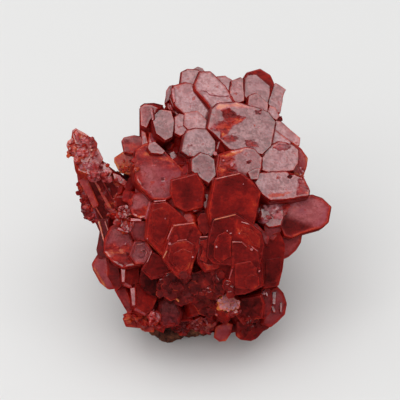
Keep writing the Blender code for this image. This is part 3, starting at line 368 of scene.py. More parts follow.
growth = {  # lengths in mm
    "bevelBig": 0.16, "bevelSmall": 0.07, "bigFrom": 2.0,     # facets round the end face
    "foldFrom": 0.25,                                         # edges that turn by more get one, rad
    "levelFrom": 0.995, "facetFrom": 0.93,                    # how square the end face and the facets lie
    "facetRing": 0.02,                                        # ring value that facets have at least
    "rim": 0.28, "step": 0.05, "lastRing": 0.25,              # rings inside the facets
    "grain": 0.3, "fineGrain": 0.17, "mostCuts": 36,          # mesh of an end face, and of one with patches
    "ripple": 0.016, "rippleTo": 0.9,                         # height of the ripples and how close they lie
    "segment": 0.5, "waver": 0.05,                            # how the outline wanders between its corners
    "waves": ((1.4, 1.0), (3.7, 0.5)),                        # how close, and how much, the wandering is
    "ledgeFrom": 1.4, "ledgeIn": 0.14, "ledgeDown": 0.35,     # the lower ledge round larger crystals
}
ragged = {  # crystals whose outline is broken: how far it wanders, mm
    "T9": 0.14, "T10": 0.14, "T13": 0.12, "T16": 0.14, "C4": 0.12, "L3": 0.26, "F2": 0.14, "G0a": 0.2,
    "G0b": 0.2, "G1": 0.14, "G2": 0.14, "G3": 0.16, "R5": 0.12, "R6": 0.2, "R1": 0.1, "R1b": 0.16,
    "A1": 0.25, "A2": 0.22, "A3": 0.1, "A4": 0.2, "B1": 0.16, "B1b": 0.16, "L2": 0.14, "T15": 0.08,
    "B4": 0.16, "B8": 0.2, "B9": 0.2,
}


# An empty mesh with two values at each point. Ring: how far in from an end face's rim, mm, or below 0
# how far down the side. Look: tone, sheen (pale sheen painted on, and gloss), the crystal's own luck,
# and how broken the face is.
def newShape():
    one = bmesh.new()
    return one, one.verts.layers.float.new("ring"), one.verts.layers.float_color.new("look")


def prism(face, axis, length, waver):
    one, ring, look = newShape()
    top = one.faces.new([one.verts.new(p) for p in face])
    top.normal_update()
    if top.normal.dot(axis) < 0:
        top.normal_flip()
    if waver:
        for edge in list(one.edges):
            cuts = round(edge.calc_length() / mm / growth["segment"]) - 1
            if cuts > 0:
                bmesh.ops.subdivide_edges(one, edges=[edge], cuts=cuts)
        corners = {tuple(round(c, 7) for c in p) for p in face}
        for vert in one.verts:
            if tuple(round(c, 7) for c in vert.co) in corners:
                continue
            drift = Vector((0.0, 0.0, 0.0))
            for close, share in growth["waves"]:
                drift += share * noise.noise_vector(vert.co / mm * close)
            drift -= axis * drift.dot(axis)
            vert.co += drift * waver * mm
    deep = bmesh.ops.extrude_face_region(one, geom=[top], use_keep_orig=True)["geom"]
    low = {g for g in deep if isinstance(g, bmesh.types.BMVert)}
    bmesh.ops.translate(one, verts=list(low), vec=-axis * length)
    bmesh.ops.recalc_face_normals(one, faces=one.faces)
    return one, ring, look, low


def bevelEdges(one, edges, width, segments):
    bmesh.ops.bevel(one, geom=edges, offset=width * mm, offset_type="OFFSET", segments=segments, profile=0.5,
                    affect="EDGES", material=-1, clamp_overlap=True)


def growCrystal(shelf, name, face, axis, length, tone, sheen):
    middle = middleOf(face)
    reach = min((p - middle).length for p in face)
    if reach > growth["ledgeFrom"] * mm:
        ledge = [p - axis * growth["ledgeDown"] * mm for p in face]
        growPlain(shelf, name + "ledge", ledge, axis, length, tone, 0.0)
        face = [p + (middle - p).normalized() * growth["ledgeIn"] * mm for p in face]
    one, ring, look, low = prism(face, axis, length, ragged.get(name, growth["waver"]))
    luck = random.Random(name).random()
    edges = [e for e in one.edges if e.is_manifold and e.calc_face_angle() > growth["foldFrom"]
             and not (e.verts[0] in low and e.verts[1] in low)]
    bevelEdges(one, edges, growth["bevelBig" if reach > growth["bigFrom"] * mm else "bevelSmall"], 2)
    top = max(one.faces, key=lambda f: (f.normal.dot(axis) > growth["levelFrom"], f.calc_area()))
    for vert in one.verts:
        vert[ring] = -(middle - vert.co).dot(axis) / mm
        vert[look] = (tone, sheen, luck, 0.0)
    for facet in one.faces:
        if facet.normal.dot(axis) > growth["facetFrom"]:
            for vert in facet.verts:
                vert[ring] = max(vert[ring], growth["facetRing"])
    for vert in top.verts:
        vert[ring] = 0.0
    cutRings(one, top, reach / mm, terraces.get(name, []), ring)
    meshFinely(one, top, reach / mm, growth["fineGrain" if name in patches else "grain"], ring)
    shapeFace(one, name, axis, (tone, sheen, luck), ring, look)
    shelf.append(one)


def cutRings(one, top, reach, steps, ring):
    depth = 0.0
    for inset, drop in [(growth["rim"], 0.0)] + steps:
        if reach < depth + inset + growth["lastRing"]:
            break
        if drop:
            bmesh.ops.inset_region(one, faces=[top], thickness=growth["step"] * mm, depth=-drop * mm,
                                   use_even_offset=False)
        bmesh.ops.inset_region(one, faces=[top], thickness=inset * mm, use_even_offset=False)
        depth += inset
        for vert in top.verts:
            vert[ring] = depth


def meshFinely(one, top, reach, grain, ring):
    hub = bmesh.ops.poke(one, faces=[top])
    hub["verts"][0][ring] = reach
    fan = {e for f in hub["faces"] for e in f.edges}
    longest = max(e.calc_length() for e in fan) / mm
    cuts = max(0, min(growth["mostCuts"], round(longest / grain) - 1))
    if cuts:
        bmesh.ops.subdivide_edges(one, edges=list(fan), cuts=cuts, use_grid_fill=True)


plainRing = 0.3  # the whole end face of a plain crystal counts as this far in from its rim, mm


def growPlain(shelf, name, face, axis, length, tone, sheen, bevel=0.1):
    one, ring, look, low = prism(face, axis, length, 0.0)
    luck = random.Random(name).random()
    bevelEdges(one, [e for e in one.edges if not (e.verts[0] in low and e.verts[1] in low)], bevel, 1)
    middle = middleOf(face)
    for vert in one.verts:
        height = (vert.co - middle).dot(axis) / mm
        vert[ring] = plainRing if height > -0.01 else height
        vert[look] = (tone, sheen, luck, 0.0)
    shelf.append(one)


def splinter(spot, size):  # height of a broken face: flat chips, each with its own slope
    nearest = noise.voronoi(spot / size)[1][0]
    slope = noise.noise_vector(nearest * 7.3)
    return slope.dot(spot / size - nearest) * size + 0.3 * slope.x * size


def mixed(one, two, weight):
    return one if two is None else one + (two - one) * weight


breakage = {"chip": 0.8, "steep": 2.2, "edge": 0.15, "edgeTo": 2.3}  # chips and wavy edge of a patch, mm


def shapeFace(one, name, axis, base, ring, look):  # ripples, patches and folds of an end face
    marks = [(numbers(patch[0]), *patch[1:]) for patch in patches.get(name, [])]
    folds = swells.get(name, [])
    for vert in one.verts:
        if vert[ring] <= 0.01:
            continue
        spot = vert.co / mm
        a, u = seenAt(vert.co)
        lower = growth["ripple"] * noise.noise(spot * growth["rippleTo"])
        tone, sheen, luck = base
        scarred = 0.0
        for outline, soft, drop, jag, newTone, newSheen in marks:
            edge = insideDistance(a, u, outline) + breakage["edge"] * noise.noise(spot * breakage["edgeTo"])
            weight = smooth(edge, -soft, soft)
            if weight > 0.0:
                chips = jag * breakage["steep"] * splinter(spot, breakage["chip"]) if jag else 0.0
                lower += weight * (drop + chips)
                tone, sheen = mixed(tone, newTone, weight), mixed(sheen, newSheen, weight)
                scarred = max(scarred, weight if jag else 0.0)
        for foldA, foldU, side, lean, soft in folds:
            side = math.radians(side)
            beyond = (a - foldA) * math.cos(side) + (u - foldU) * math.sin(side)
            fall = soft * math.log1p(math.exp(min(30.0, beyond / soft)))
            lower += math.tan(math.radians(lean)) * fall
        vert.co -= axis * lower * mm
        vert[look] = (tone, sheen, luck, scarred)


anyWay = Vector((0.31, 0.17, 0.93))  # along no crystal's axis


def hexagonFace(middle, axis, widths, turn):  # six points round the middle, in metres
    across = axis.cross(anyWay).normalized()
    other = axis.cross(across)
    points = []
    for index in range(6):
        one = math.radians(turn) + math.radians(60 * index)
        two = math.radians(turn) + math.radians(60 * index + 60)
        near, far = widths[index % 3], widths[(index + 1) % 3]
        along = (far - near * math.cos(two - one)) / math.sin(two - one)
        x = near * math.cos(one) - along * math.sin(one)
        y = near * math.sin(one) + along * math.cos(one)
        points.append(middle + across * x + other * y)
    return points


def addObject(name, data):
    thing = bpy.data.objects.new(name, data)
    bpy.context.scene.collection.objects.link(thing)
    return thing


def pieceFrom(name, shelf, finish, node):  # joins the shelf's shapes in one piece
    whole, _, _ = newShape()
    for one in shelf:
        part = bpy.data.meshes.new("part")
        one.to_mesh(part)
        one.free()
        whole.from_mesh(part)
        bpy.data.meshes.remove(part)
    data = bpy.data.meshes.new(name)
    whole.to_mesh(data)
    whole.free()
    piece = addObject(name, data)
    piece.data.materials.append(finish)
    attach(piece, "root")
    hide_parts(node)
    print(name, len(data.polygons), "faces")


class Sock:  # a shader socket that can be written in sums
    def __init__(self, tree, link):
        self.tree, self.link = tree, link

    def sums(self, operation, *values):
        node = self.tree.nodes.new("ShaderNodeMath")
        node.operation = operation
        for socket, value in zip(node.inputs, values):
            if isinstance(value, Sock):
                self.tree.links.new(value.link, socket)
            else:
                socket.default_value = value
        return Sock(self.tree, node.outputs[0])

    def __add__(self, other):
        return self.sums("ADD", self, other)

    def __radd__(self, other):
        return self.sums("ADD", other, self)

    def __sub__(self, other):
        return self.sums("SUBTRACT", self, other)

    def __rsub__(self, other):
        return self.sums("SUBTRACT", other, self)

    def __mul__(self, other):
        return self.sums("MULTIPLY", self, other)

    def __rmul__(self, other):
        return self.sums("MULTIPLY", other, self)

    def atMost(self, other):
        return self.sums("MINIMUM", self, other)

    def output(self, index):  # another output of the same node
        return Sock(self.tree, self.link.node.outputs[index])


class Nodes:  # a node tree and the one way its nodes are made
    def __init__(self, tree):
        self.tree = tree

    def node(self, kind, settings=None, sockets=None, output=0):
        made = self.tree.nodes.new("ShaderNode" + kind)
        for key, value in (settings or {}).items():
            if key == "stops":
                for index, (at, colour) in enumerate(value):
                    stops = made.color_ramp.elements
                    stop = stops[index] if index < len(stops) else stops.new(at)
                    stop.position, stop.color = at, (*colour, 1.0)
            else:
                setattr(made, key, value)
        for key, value in (sockets or {}).items():
            if isinstance(value, Sock):
                self.tree.links.new(value.link, made.inputs[key])
            else:
                made.inputs[key].default_value = value
        return Sock(self.tree, made.outputs[output])

    def blend(self, factor, one, two):
        return self.node("Mix", {"data_type": "RGBA"}, {0: factor, 6: one, 7: two}, 2)


class Finish(Nodes):  # a material
    def __init__(self, name, **constants):
        self.material = bpy.data.materials.new(name)
        self.material.use_nodes = True
        super().__init__(self.material.node_tree)
        self.shader = self.tree.nodes["Principled BSDF"]
        for socket, value in constants.items():
            self.shader.inputs[socket.replace("_", " ")].default_value = value

    def speckle(self, place, scale, detail=2.0, rough=0.5):
        return self.node("TexNoise", {}, {"Vector": place, "Scale": scale, "Detail": detail,
                                          "Roughness": rough})

    def ramp(self, value, low, high, start=0.0, end=1.0):
        return self.node("MapRange", {"interpolation_type": "SMOOTHSTEP"},
                         {"Value": value, "From Min": low, "From Max": high, "To Min": start, "To Max": end})

    def colours(self, stops, value):
        return self.node("ValToRGB", {"stops": stops}, {"Fac": value})

    def feed(self, socket, value):
        self.tree.links.new(value.link, self.shader.inputs[socket])

    def feedBumps(self, height, strength, distance):
        self.feed("Normal", self.node("Bump", {}, {
            "Strength": strength, "Distance": distance, "Height": height}, output="Normal"))


crystalLook = {
    "stops": [
        (0.0, (0.012, 0.0005, 0.0005)), (0.25, (0.055, 0.0012, 0.0012)), (0.5, (0.19, 0.0032, 0.0026)),
        (0.7, (0.36, 0.0095, 0.0042)), (0.85, (0.52, 0.05, 0.012)), (1.0, (0.72, 0.17, 0.04)),
    ],
    # Painted reflection: the two pink colours on the next line are painted on end faces for the lamps'
    # reflection, and the value after them caps how much is painted.
    "sheen": (0.65, 0.20, 0.22, 1.0), "paintedSheenMauve": (0.40, 0.12, 0.165, 1.0), "mostSheen": 0.8,
    "speckles": [(330.0, 3.0), (900.0, 4.0, 0.6), (3000.0, 2.0, 0.6)],  # cloud, patchy and grain
    "cloud": 0.50, "patchy": 0.42, "grain": 0.34, "streak": 0.36, "bands": 0.45, "luck": 0.05,
    # Of the tone shifts below, the first two paint light on faces with sheen, and rim paints light glowing
    # through thin edges; scar and line are the crystal's own marks.
    "paintedSideLight": 0.10, "paintedSheenTone": 0.16, "rim": 0.14, "scar": 0.9, "line": 0.10,  # how far each shifts the tone
    "rough": 0.34, "bump": 0.35, "bumpDepth": 0.00012,
}


def crystalFinish():
    f = Finish("vanadinite", IOR=1.5, Specular_IOR_Level=0.25, Coat_IOR=2.6, Coat_Roughness=0.12,
               Subsurface_Weight=0.35, Subsurface_Scale=0.0016, Subsurface_Radius=(1.0, 0.08, 0.06))
    look = crystalLook
    place = f.node("TexCoord", output="Object")
    ring = f.node("Attribute", {"attribute_name": "ring"}, output="Fac")
    own = f.node("Attribute", {"attribute_name": "look"}, output="Color")
    scar = f.node("Attribute", {"attribute_name": "look"}, output="Alpha")
    split = f.node("SeparateColor", {}, {"Color": own})
    tone, sheen, luck = (split.output(index) for index in range(3))
    cloud, patchy, grain = (f.speckle(place, *sizes) for sizes in look["speckles"])
    long = f.node("VectorMath", {"operation": "MULTIPLY"}, {0: place, 1: (0.3, 1.0, 1.0)})
    streak = f.speckle(long, 1300.0, 4.0, 0.65)

    onEnd = f.ramp(ring, 0.0, 0.05)
    side = 1.0 - onEnd
    rim = onEnd * (1.0 - f.ramp(ring, 0.05, 0.45))
    bands = f.speckle(f.node("CombineXYZ", {}, {0: ring * 2.4, 1: luck * 9.0}), 1.0, 3.0, 0.6)
    swirl = f.speckle(place, 380.0, 6.0, 0.68) - 0.5
    line = (1.0 - f.ramp(swirl * swirl, 0.0, 0.00022)) * f.ramp(patchy, 0.44, 0.54) * onEnd
    stain = f.ramp(patchy * 0.6 + streak * 0.4, 0.555, 0.635) * onEnd

    shade = tone + (cloud - 0.5) * look["cloud"] + (patchy - 0.5) * look["patchy"]
    shade = shade + (luck - 0.5) * look["luck"] + (grain - 0.5) * look["grain"]
    # Side faces get banding of growth, offset so that it also paints every side lighter as light falling on
    # it.
    shade = shade + (streak - 0.5) * look["streak"] * onEnd + side * (bands - 0.30) * look["bands"]
    # Painted light: sides of crystals with sheen are painted lighter still, and end faces with sheen a
    # lighter red.
    shade = shade + side * sheen * look["paintedSideLight"] + onEnd * sheen.atMost(0.7) * look["paintedSheenTone"]
    # Painted glow: the rim band and facets are painted a lighter orange, standing for light shining through
    # the thin edges.
    shade = shade + rim * f.ramp(patchy, 0.40, 0.60, 0.0, look["rim"])
    shade = shade + scar * (streak - 0.5) * look["scar"] - line * look["line"]
    clear = f.ramp(streak * 0.2 + patchy * 0.5 + grain * 0.3, 0.42, 0.58, 0.5, 1.0)
    clear = clear * (1.0 - stain * 0.7) * (1.0 - line * 0.6)
    # Painted reflection: the pale pink colour is mixed into the base colour where a face has sheen, less at
    # its rim.
    sheenShare = sheen * onEnd * clear * (1.0 - rim * 0.8) * look["mostSheen"]
    pale = f.blend(f.ramp(cloud, 0.40, 0.62), look["sheen"], look["paintedSheenMauve"])
    f.feed("Base Color", f.blend(sheenShare, f.colours(look["stops"], shade), pale))
    f.feed("Roughness", look["rough"] + patchy * 0.2)
    coat = onEnd * (0.12 + sheen.atMost(0.6) * 1.45) * clear * (1.0 - scar * 0.7) * (1.0 - rim * sheen)
    f.feed("Coat Weight", coat + rim * (1.0 - sheen) * 0.6 + side * 0.1)
    f.feedBumps(patchy * 0.8 + grain * 0.35 + cloud + side * bands * 1.5, look["bump"], look["bumpDepth"])
    return f.material


gapShadeLook = {
    "stops": [(0.3, (0.012, 0.001, 0.001)), (0.5, (0.07, 0.003, 0.002)), (0.75, (0.24, 0.016, 0.008))],
    "rough": 0.5, "bump": 0.8, "bumpDepth": 0.0004,
}


def gapShadeFinish():  # painted shade: the mass between the crystals, dark red near black as the gaps' shade
    f = Finish("vanadinite in painted gap shade", IOR=1.6, Specular_IOR_Level=0.3)
    grain = f.speckle(f.node("TexCoord", output="Object"), 900.0, 4.0, 0.6)
    f.feed("Base Color", f.colours(gapShadeLook["stops"], grain))
    f.feed("Roughness", gapShadeLook["rough"] + grain * 0.3)
    f.feedBumps(grain, gapShadeLook["bump"], gapShadeLook["bumpDepth"])
    return f.material


rockLook = {
    "stops": [
        (0.30, (0.008, 0.003, 0.002)), (0.42, (0.055, 0.012, 0.006)), (0.54, (0.15, 0.038, 0.018)),
        (0.66, (0.26, 0.085, 0.035)), (0.82, (0.40, 0.20, 0.09)),
    ],
    "rough": 0.75, "bump": 0.9, "bumpDepth": 0.0004,
}


def rockFinish():
    f = Finish("brown rock", IOR=1.5)
    place = f.node("TexCoord", output="Object")
    cloud = f.speckle(place, 260.0, 4.0)
    grain = f.speckle(place, 1300.0, 4.0, 0.65)
    pits = f.node("TexVoronoi", {}, {"Vector": place, "Scale": 900.0}, output="Distance")
    f.feed("Base Color", f.colours(rockLook["stops"], cloud * 0.55 + grain * 0.6 - 0.08))
    f.feed("Roughness", rockLook["rough"] + grain * 0.2)
    f.feedBumps(grain + pits * 0.5, rockLook["bump"], rockLook["bumpDepth"])
    return f.material


vanadinite = crystalFinish()
paintedGapShade = gapShadeFinish()
brownRock = rockFinish()
print("finishes made")

groups = {  # each piece, and how the names of its crystals start
    "crystals_top": ("T", "C3", "C4"),
    "crystals_middle": ("C1", "C2", "C5", "M", "F"),
    "crystals_left": ("L", "D"),
    "crystals_arm": ("A", "H"),
    "crystals_right": ("R",),
    "crystals_low": ("G", "B"),
}


def groupOf(name):
    fits = [(len(start), group) for group, starts in groups.items() for start in starts
            if name.startswith(start)]
    return max(fits)[1]


spread = {  # how far an outline is widened, mm: pale end faces, deep red ones, and some by their own
    "pale": 0.13, "deep": 0.05, "paleFrom": 0.4,
    "own": {"C4": 0.28, "T16": 0.3, "C3": 0.22, "T4": 0.2, "T17": 0.1, "R1b": 0.3},
}


def widened(pairs, middle, wider):
    grown = []
    for a, u in pairs:
        far = math.hypot(a - middle.x, u - middle.y)
        grown.append((a + wider * (a - middle.x) / far, u + wider * (u - middle.y) / far))
    return grown


shelves = {group: [] for group in groups}
shelfOf = {}
ends = {}  # name: point, axis and outline of each end face, to find what lies in front
for name, stand, lean, side, length, tone, sheen, outline in crystalTable:
    axis = leanAxis(lean, side)
    pairs = numbers(outline)
    flat = middleOf([Vector((a, u, 0.0)) for a, u in pairs])
    usual = spread["pale" if sheen >= spread["paleFrom"] else "deep"]
    pairs = widened(pairs, flat, spread["own"].get(name, usual))
    point = placed(flat.x, flat.y, stand)
    face = [onPlane(a, u, point, axis) for a, u in pairs]
    ends[name] = (point, axis, pairs)
    shelfOf[name] = shelves[groupOf(name)]
    growCrystal(shelfOf[name], name, face, axis, length * mm, tone, sheen)

tip, foot = placed(*upright["tip"]), placed(*upright["foot"])
axis = (tip - foot).normalized()
face = hexagonFace(tip, axis, [half * mm for half in upright["halves"]], upright["turn"])
growCrystal(shelves["crystals_top"], "T5", face, axis, (tip - foot).length, upright["tone"], upright["sheen"])

plate = {"thick": 0.6, "ragged": 0.1}
for index, (host, proud, tone, sheen, outline) in enumerate(plateTable):
    point, axis, _ = ends[host]
    point = point + axis * proud * mm
    pairs = numbers(outline)
    name = f"{host}plate{index}"
    ends[name] = (point, axis, pairs)
    ragged[name] = plate["ragged"]
    face = [onPlane(a, u, point, axis) for a, u in pairs]
    growCrystal(shelfOf[host], name, face, axis, plate["thick"] * mm, tone, sheen)
print(len(ends), "crystals and plates grown")


def surfaceAt(a, u):  # the frontmost end face seen at a place, and its axis
    best = None
    for point, axis, pairs in ends.values():
        if insideDistance(a, u, pairs) > 0.0:
            spot = onPlane(a, u, point, axis)
            if best is None or (spot - eye).length < (best[0] - eye).length:
                best = (spot, axis)
    return best


def swayed(axis, amount, draw):
    return (axis + Vector([draw.gauss(0.0, 1.0) for _ in range(3)]) * amount).normalized()


bit = {  # a small crystal, and the plate that rims it
    "uneven": (0.75, 1.2), "length": 1.6, "bevel": 0.12, "rimLength": 1.2,         # parts of its half-width
    "rimBevel": 0.02, "rimDown": 0.05, "rimAside": 0.13, "rimTones": (0.3, 0.72),  # mm, and its tones
}


def addBit(shelf, name, spot, axis, half, proud, tone, sheen, draw, rimmed=False):
    widths = [half * mm * draw.uniform(*bit["uneven"]) for _ in range(3)]
    turn = draw.uniform(0, 60)
    face = hexagonFace(spot + axis * proud * mm, axis, widths, turn)
    if rimmed:  # a paler plate shows round the edge
        away = draw.uniform(0.0, 2.0 * math.pi)
        aside = (right * math.cos(away) + up * math.sin(away)) * bit["rimAside"] * mm
        under = hexagonFace(spot + axis * (proud - bit["rimDown"]) * mm + aside, axis, widths, turn)
        growPlain(shelf, f"{name}rim", under, axis, half * bit["rimLength"] * mm,
                  draw.uniform(*bit["rimTones"]), 0.0, bevel=bit["rimBevel"])
    growPlain(shelf, name, face, axis, (half * bit["length"] + proud) * mm, tone, sheen,
              bevel=bit["bevel"] * half)


towardsBox, towardsLeft = leanAxis(20, 60), leanAxis(22, 185)  # axes whose end faces mirror the lamps

# Fields of small crystals on a host: how many, half-width, sway, how proud, tone,
# sheen (pale sheen painted on, and gloss), region.
fields = {
    "G1": [
        (300, (0.18, 0.75), 0.10, (0.02, 0.36), (0.32, 0.50), (0.0, 0.05),
         "-6.1,-11.4 -2.9,-10.8 1.0,-10.4 3.4,-10.2 5.2,-12.9 5.5,-13.7 3.2,-13.9 2.2,-15.0 2.3,-16.8 "
         "1.0,-16.9 -0.6,-15.4 -3.0,-15.0 -5.8,-14.2"),
    ],
    "H1": [
        (12, (0.15, 0.35), 0.25, (0.3, 0.45), (0.58, 0.80), (0.0, 0.8),
         "-19.8,12.1 -18.0,11.7 -15.7,10.1 -14.9,7.4 -13.6,5.4 -14.6,4.2 -17.4,4.6 -19.2,6.9 -20.5,8.5 "
         "-20.4,10.1"),
    ],
    "H10": [
        (10, (0.2, 0.45), 0.2, (0.3, 0.45), (0.52, 0.72), (0.0, 0.25),
         "-14.8,5.3 -12.9,4.4 -11.3,3.3 -10.4,2.0 -10.6,0.2 -12.0,1.0 -12.4,3.0"),
    ],
    "D1": [
        (80, (0.16, 0.42), 0.40, (0.0, 0.3), (0.42, 0.66), (0.0, 0.9),
         "-13.0,-0.8 -11.4,0.2 -10.3,-0.6 -10.2,-3.0 -10.9,-4.0 -12.6,-3.6 -13.2,-2.2"),
    ],
    "A1": [
        (8, (0.3, 0.6), 0.10, (-0.08, 0.05), (0.50, 0.74), (0.0, 0.2),
         "-16.0,5.0 -13.4,2.6 -11.4,-0.6 -11.8,-3.0 -14.6,-1.6 -16.0,2.2"),
    ],
    "B9": [
        (40, (0.16, 0.36), 0.30, (0.05, 0.3), (0.42, 0.7), (0.0, 0.9),
         "-1.2,-17.6 1.6,-17.3 2.5,-18.2 2.3,-19.2 -0.9,-19.2"),
    ],
    "B8": [
        (36, (0.18, 0.45), 0.35, (0.0, 0.25), (0.40, 0.66), (0.0, 0.2),
         "-4.0,-18.0 -1.2,-18.2 2.0,-19.2 1.4,-19.8 -3.6,-20.0"),
    ],
    "B4": [
        (10, (0.2, 0.5), 0.25, (0.0, 0.3), (0.46, 0.72), (0.0, 0.3),
         "-11.8,-17.4 -9.8,-16.6 -7.6,-17.2 -6.8,-18.8 -8.4,-19.5 -11.2,-18.8"),
    ],
    "A3": [
        (60, (0.16, 0.42), 0.35, (0.0, 0.22), (0.34, 0.58), (0.0, 0.15),
         "-18.8,4.0 -18.0,-1.8 -16.4,-2.4 -16.8,0.6 -18.0,3.6"),
    ],
    "L3": [
        (12, (0.16, 0.4), 0.30, (0.1, 0.3), (0.5, 0.76), (0.0, 0.15),
         "-12.6,5.6 -9.4,8.0 -9.2,5.4 -10.8,5.0"),
    ],
    "B1": [
        (34, (0.14, 0.32), 0.40, (0.05, 0.3), (0.40, 0.66), (0.0, 0.5),
         "3.4,-16.4 5.2,-17.2 6.5,-16.4 6.3,-15.6 4.8,-16.2"),
        # Painted highlight: these small crystals face the lamp and carry a strong pale sheen in their colour.
        (110, (0.16, 0.40), 0.12, (0.4, 0.8), (0.75, 0.95), (1.8, 2.4),
         "2.9,-15.2 4.1,-14.1 5.2,-14.4 6.2,-14.9 6.0,-15.9 4.6,-16.3 3.2,-15.9"),
    ],
    "R6": [
        (24, (0.2, 0.5), 0.20, (0.0, 0.15), (0.36, 0.5), (0.0, 0.0),
         "6.6,-17.6 9.6,-17.8 10.6,-19.2 8.4,-20.8 6.4,-20.4"),
    ],
}
rimmedFields = ("G1", "R6")  # here a paler plate lies under each small crystal
shiningFrom = 0.6  # fields with more sheen than this face the lamp
for host, rows in fields.items():
    for row, (count, halves, sway, prouds, tones, sheens, region) in enumerate(rows):
        draw = random.Random(f"{host}{row}")
        outline = numbers(region)
        across, ups = [a for a, _ in outline], [u for _, u in outline]
        made = 0
        while made < count:
            a, u = draw.uniform(min(across), max(across)), draw.uniform(min(ups), max(ups))
            found = surfaceAt(a, u) if insideDistance(a, u, outline) > 0.0 else None
            if found is None:
                continue
            made += 1
            axis = swayed(towardsBox if sheens[0] > shiningFrom else found[1], sway, draw)
            half, proud, tone, sheen = (draw.uniform(*span) for span in (halves, prouds, tones, sheens))
            addBit(shelfOf[host], f"{host}bit{made}", found[0], axis, half, proud, tone, sheen, draw,
                   host in rimmedFields)
print("fields of small crystals grown")

# Rough lumps: host, across, up, half-width, half-height, turn, depth, sunk, tone,
# sheen (pale sheen painted on, and gloss).
noduleTable = [
    ("H1", -18.7, 10.8, 0.85, 1.35, 30, 1.0, 0.5, 0.66, 0.35),
    ("H2", -17.3, 9.8, 1.5, 1.2, -30, 1.1, 0.6, 0.64, 0.45),
    ("H3", -19.3, 9.2, 1.1, 1.2, 0, 1.0, 0.5, 0.72, 0.30),
    ("H5", -18.0, 8.2, 1.5, 1.2, 20, 1.1, 0.6, 0.64, 0.55),
    ("H6", -16.4, 8.1, 1.0, 1.6, 25, 1.1, 0.7, 0.62, 0.35),
    ("H8", -17.3, 6.5, 1.4, 1.3, 0, 1.1, 0.6, 0.62, 0.60),
    ("H8", -15.8, 6.2, 1.1, 1.1, 20, 1.1, 0.6, 0.60, 0.35),
    ("H8", -16.2, 5.0, 1.3, 1.1, 0, 1.0, 0.6, 0.62, 0.40),
    ("H9", -14.3, 4.7, 1.3, 0.7, -40, 1.0, 0.6, 0.58, 0.30),
    ("H10", -12.6, 3.4, 1.3, 0.7, -35, 1.0, 0.6, 0.60, 0.45),
    ("H10", -11.1, 2.2, 1.1, 1.5, 20, 1.0, 0.6, 0.56, 0.15),
    ("H4", -20.2, 8.0, 0.5, 0.55, 0, 0.6, 0.2, 0.86, 0.05),
    ("H7", -18.9, 7.3, 0.7, 0.8, 30, 0.8, 0.4, 0.66, 0.40),
    ("H7", -18.0, 6.0, 0.6, 0.9, 30, 0.8, 0.4, 0.60, 0.60),
    ("A3", -17.3, 1.1, 0.55, 0.8, 0, 0.8, 0.2, 0.50, 0.15),
    ("A3", -17.3, -0.3, 0.85, 0.8, 0, 0.8, 0.2, 0.48, 0.20),
    ("A3", -16.8, -1.7, 0.9, 0.65, 0, 0.8, 0.2, 0.44, 0.10),
    ("A1", -12.7, 1.0, 1.3, 2.2, 25, 0.9, 0.6, 0.60, 0.10),
    ("A1", -13.4, -0.9, 0.9, 1.6, 30, 0.8, 0.6, 0.56, 0.08),
    ("A1", -14.6, 2.6, 0.9, 1.6, 30, 0.8, 0.6, 0.44, 0.05),
    ("B4", -10.9, -17.2, 1.0, 0.7, 0, 0.8, 0.2, 0.70, 0.10),
    ("B4", -9.5, -17.3, 1.0, 0.8, 0, 0.8, 0.2, 0.62, 0.15),
    ("B4", -8.3, -18.2, 1.1, 0.8, -10, 0.8, 0.2, 0.60, 0.15),
    ("B4", -7.2, -17.3, 0.8, 1.2, 10, 0.8, 0.2, 0.62, 0.40),
    ("B4", -6.4, -18.6, 1.0, 0.8, -20, 0.8, 0.2, 0.52, 0.10),
    ("B8", -3.2, -18.9, 1.2, 0.8, 0, 0.8, 0.2, 0.46, 0.05),
    ("L3", -12.1, 5.9, 0.4, 0.5, 0, 0.6, 0.2, 0.66, 0.10),
    ("L3", -11.3, 5.5, 0.7, 0.4, 0, 0.6, 0.2, 0.74, 0.05),
    ("L3", -10.2, 5.1, 0.6, 0.6, 0, 0.6, 0.3, 0.64, 0.05),
    ("L3", -11.7, 7.0, 0.5, 0.5, 0, 0.5, 0.2, 0.68, 0.20),
    # Painted highlight: the main lump of B1 carries a strong pale sheen in its colour.
    ("B1", 4.5, -15.0, 1.7, 1.15, -10, 0.45, 0.25, 0.62, 2.60),
    ("B1", 3.2, -16.4, 0.7, 0.5, 0, 0.6, 0.2, 0.50, 0.50),
    ("B1", 5.4, -16.3, 0.9, 0.4, 0, 0.5, 0.3, 0.48, 0.30),
    ("R1b", 11.2, -0.7, 1.7, 1.3, 0, 0.6, 0.35, 0.46, 1.00),
    ("R1b", 12.2, 0.2, 1.0, 0.6, 0, 0.5, 0.25, 0.50, 1.00),
    ("R1b", 10.3, -2.0, 0.9, 0.7, 0, 0.6, 0.25, 0.50, 0.90),
    ("R1b", 10.6, -0.4, 1.0, 0.8, 0, 0.5, 0.3, 0.55, 1.10),
    ("R1b", 12.2, -1.5, 1.1, 0.9, 0, 0.6, 0.3, 0.56, 0.90),
    ("R1b", 13.2, -0.6, 0.8, 0.9, 0, 0.5, 0.3, 0.60, 0.70),
    ("B8", 1.4, -19.6, 0.9, 0.6, 0, 0.6, 0.2, 0.44, 0.10),
    ("G1", -3.4, -13.2, 1.4, 0.8, 20, 0.4, 0.2, 0.40, 0.00),
    ("G1", 0.6, -12.6, 1.4, 1.0, 0, 0.4, 0.2, 0.38, 0.05),
    ("G1", -1.4, -11.8, 1.3, 0.8, 0, 0.4, 0.2, 0.40, 0.10),
]

crust = {  # how the skin of a lump is broken
    "chips": {"R1b": 1.2, "B1": 0.8, "L3": 0.7, "A1": 0.8, "A3": 0.6, "B4": 0.8, "G1": 0.7, "B8": 0.6},  # mm
    "plainChip": 0.45, "coarseFrom": 0.5, "coarse": 0.9, "fine": 0.45,  # size, and how much they stand out
    "swell": 0.34, "swellTo": 0.8, "furrow": 0.45, "furrowTo": 1.5,
    "toneShift": 0.22, "sheenShift": 2.4, "sheenTo": 1.6, "scar": 0.4,
}


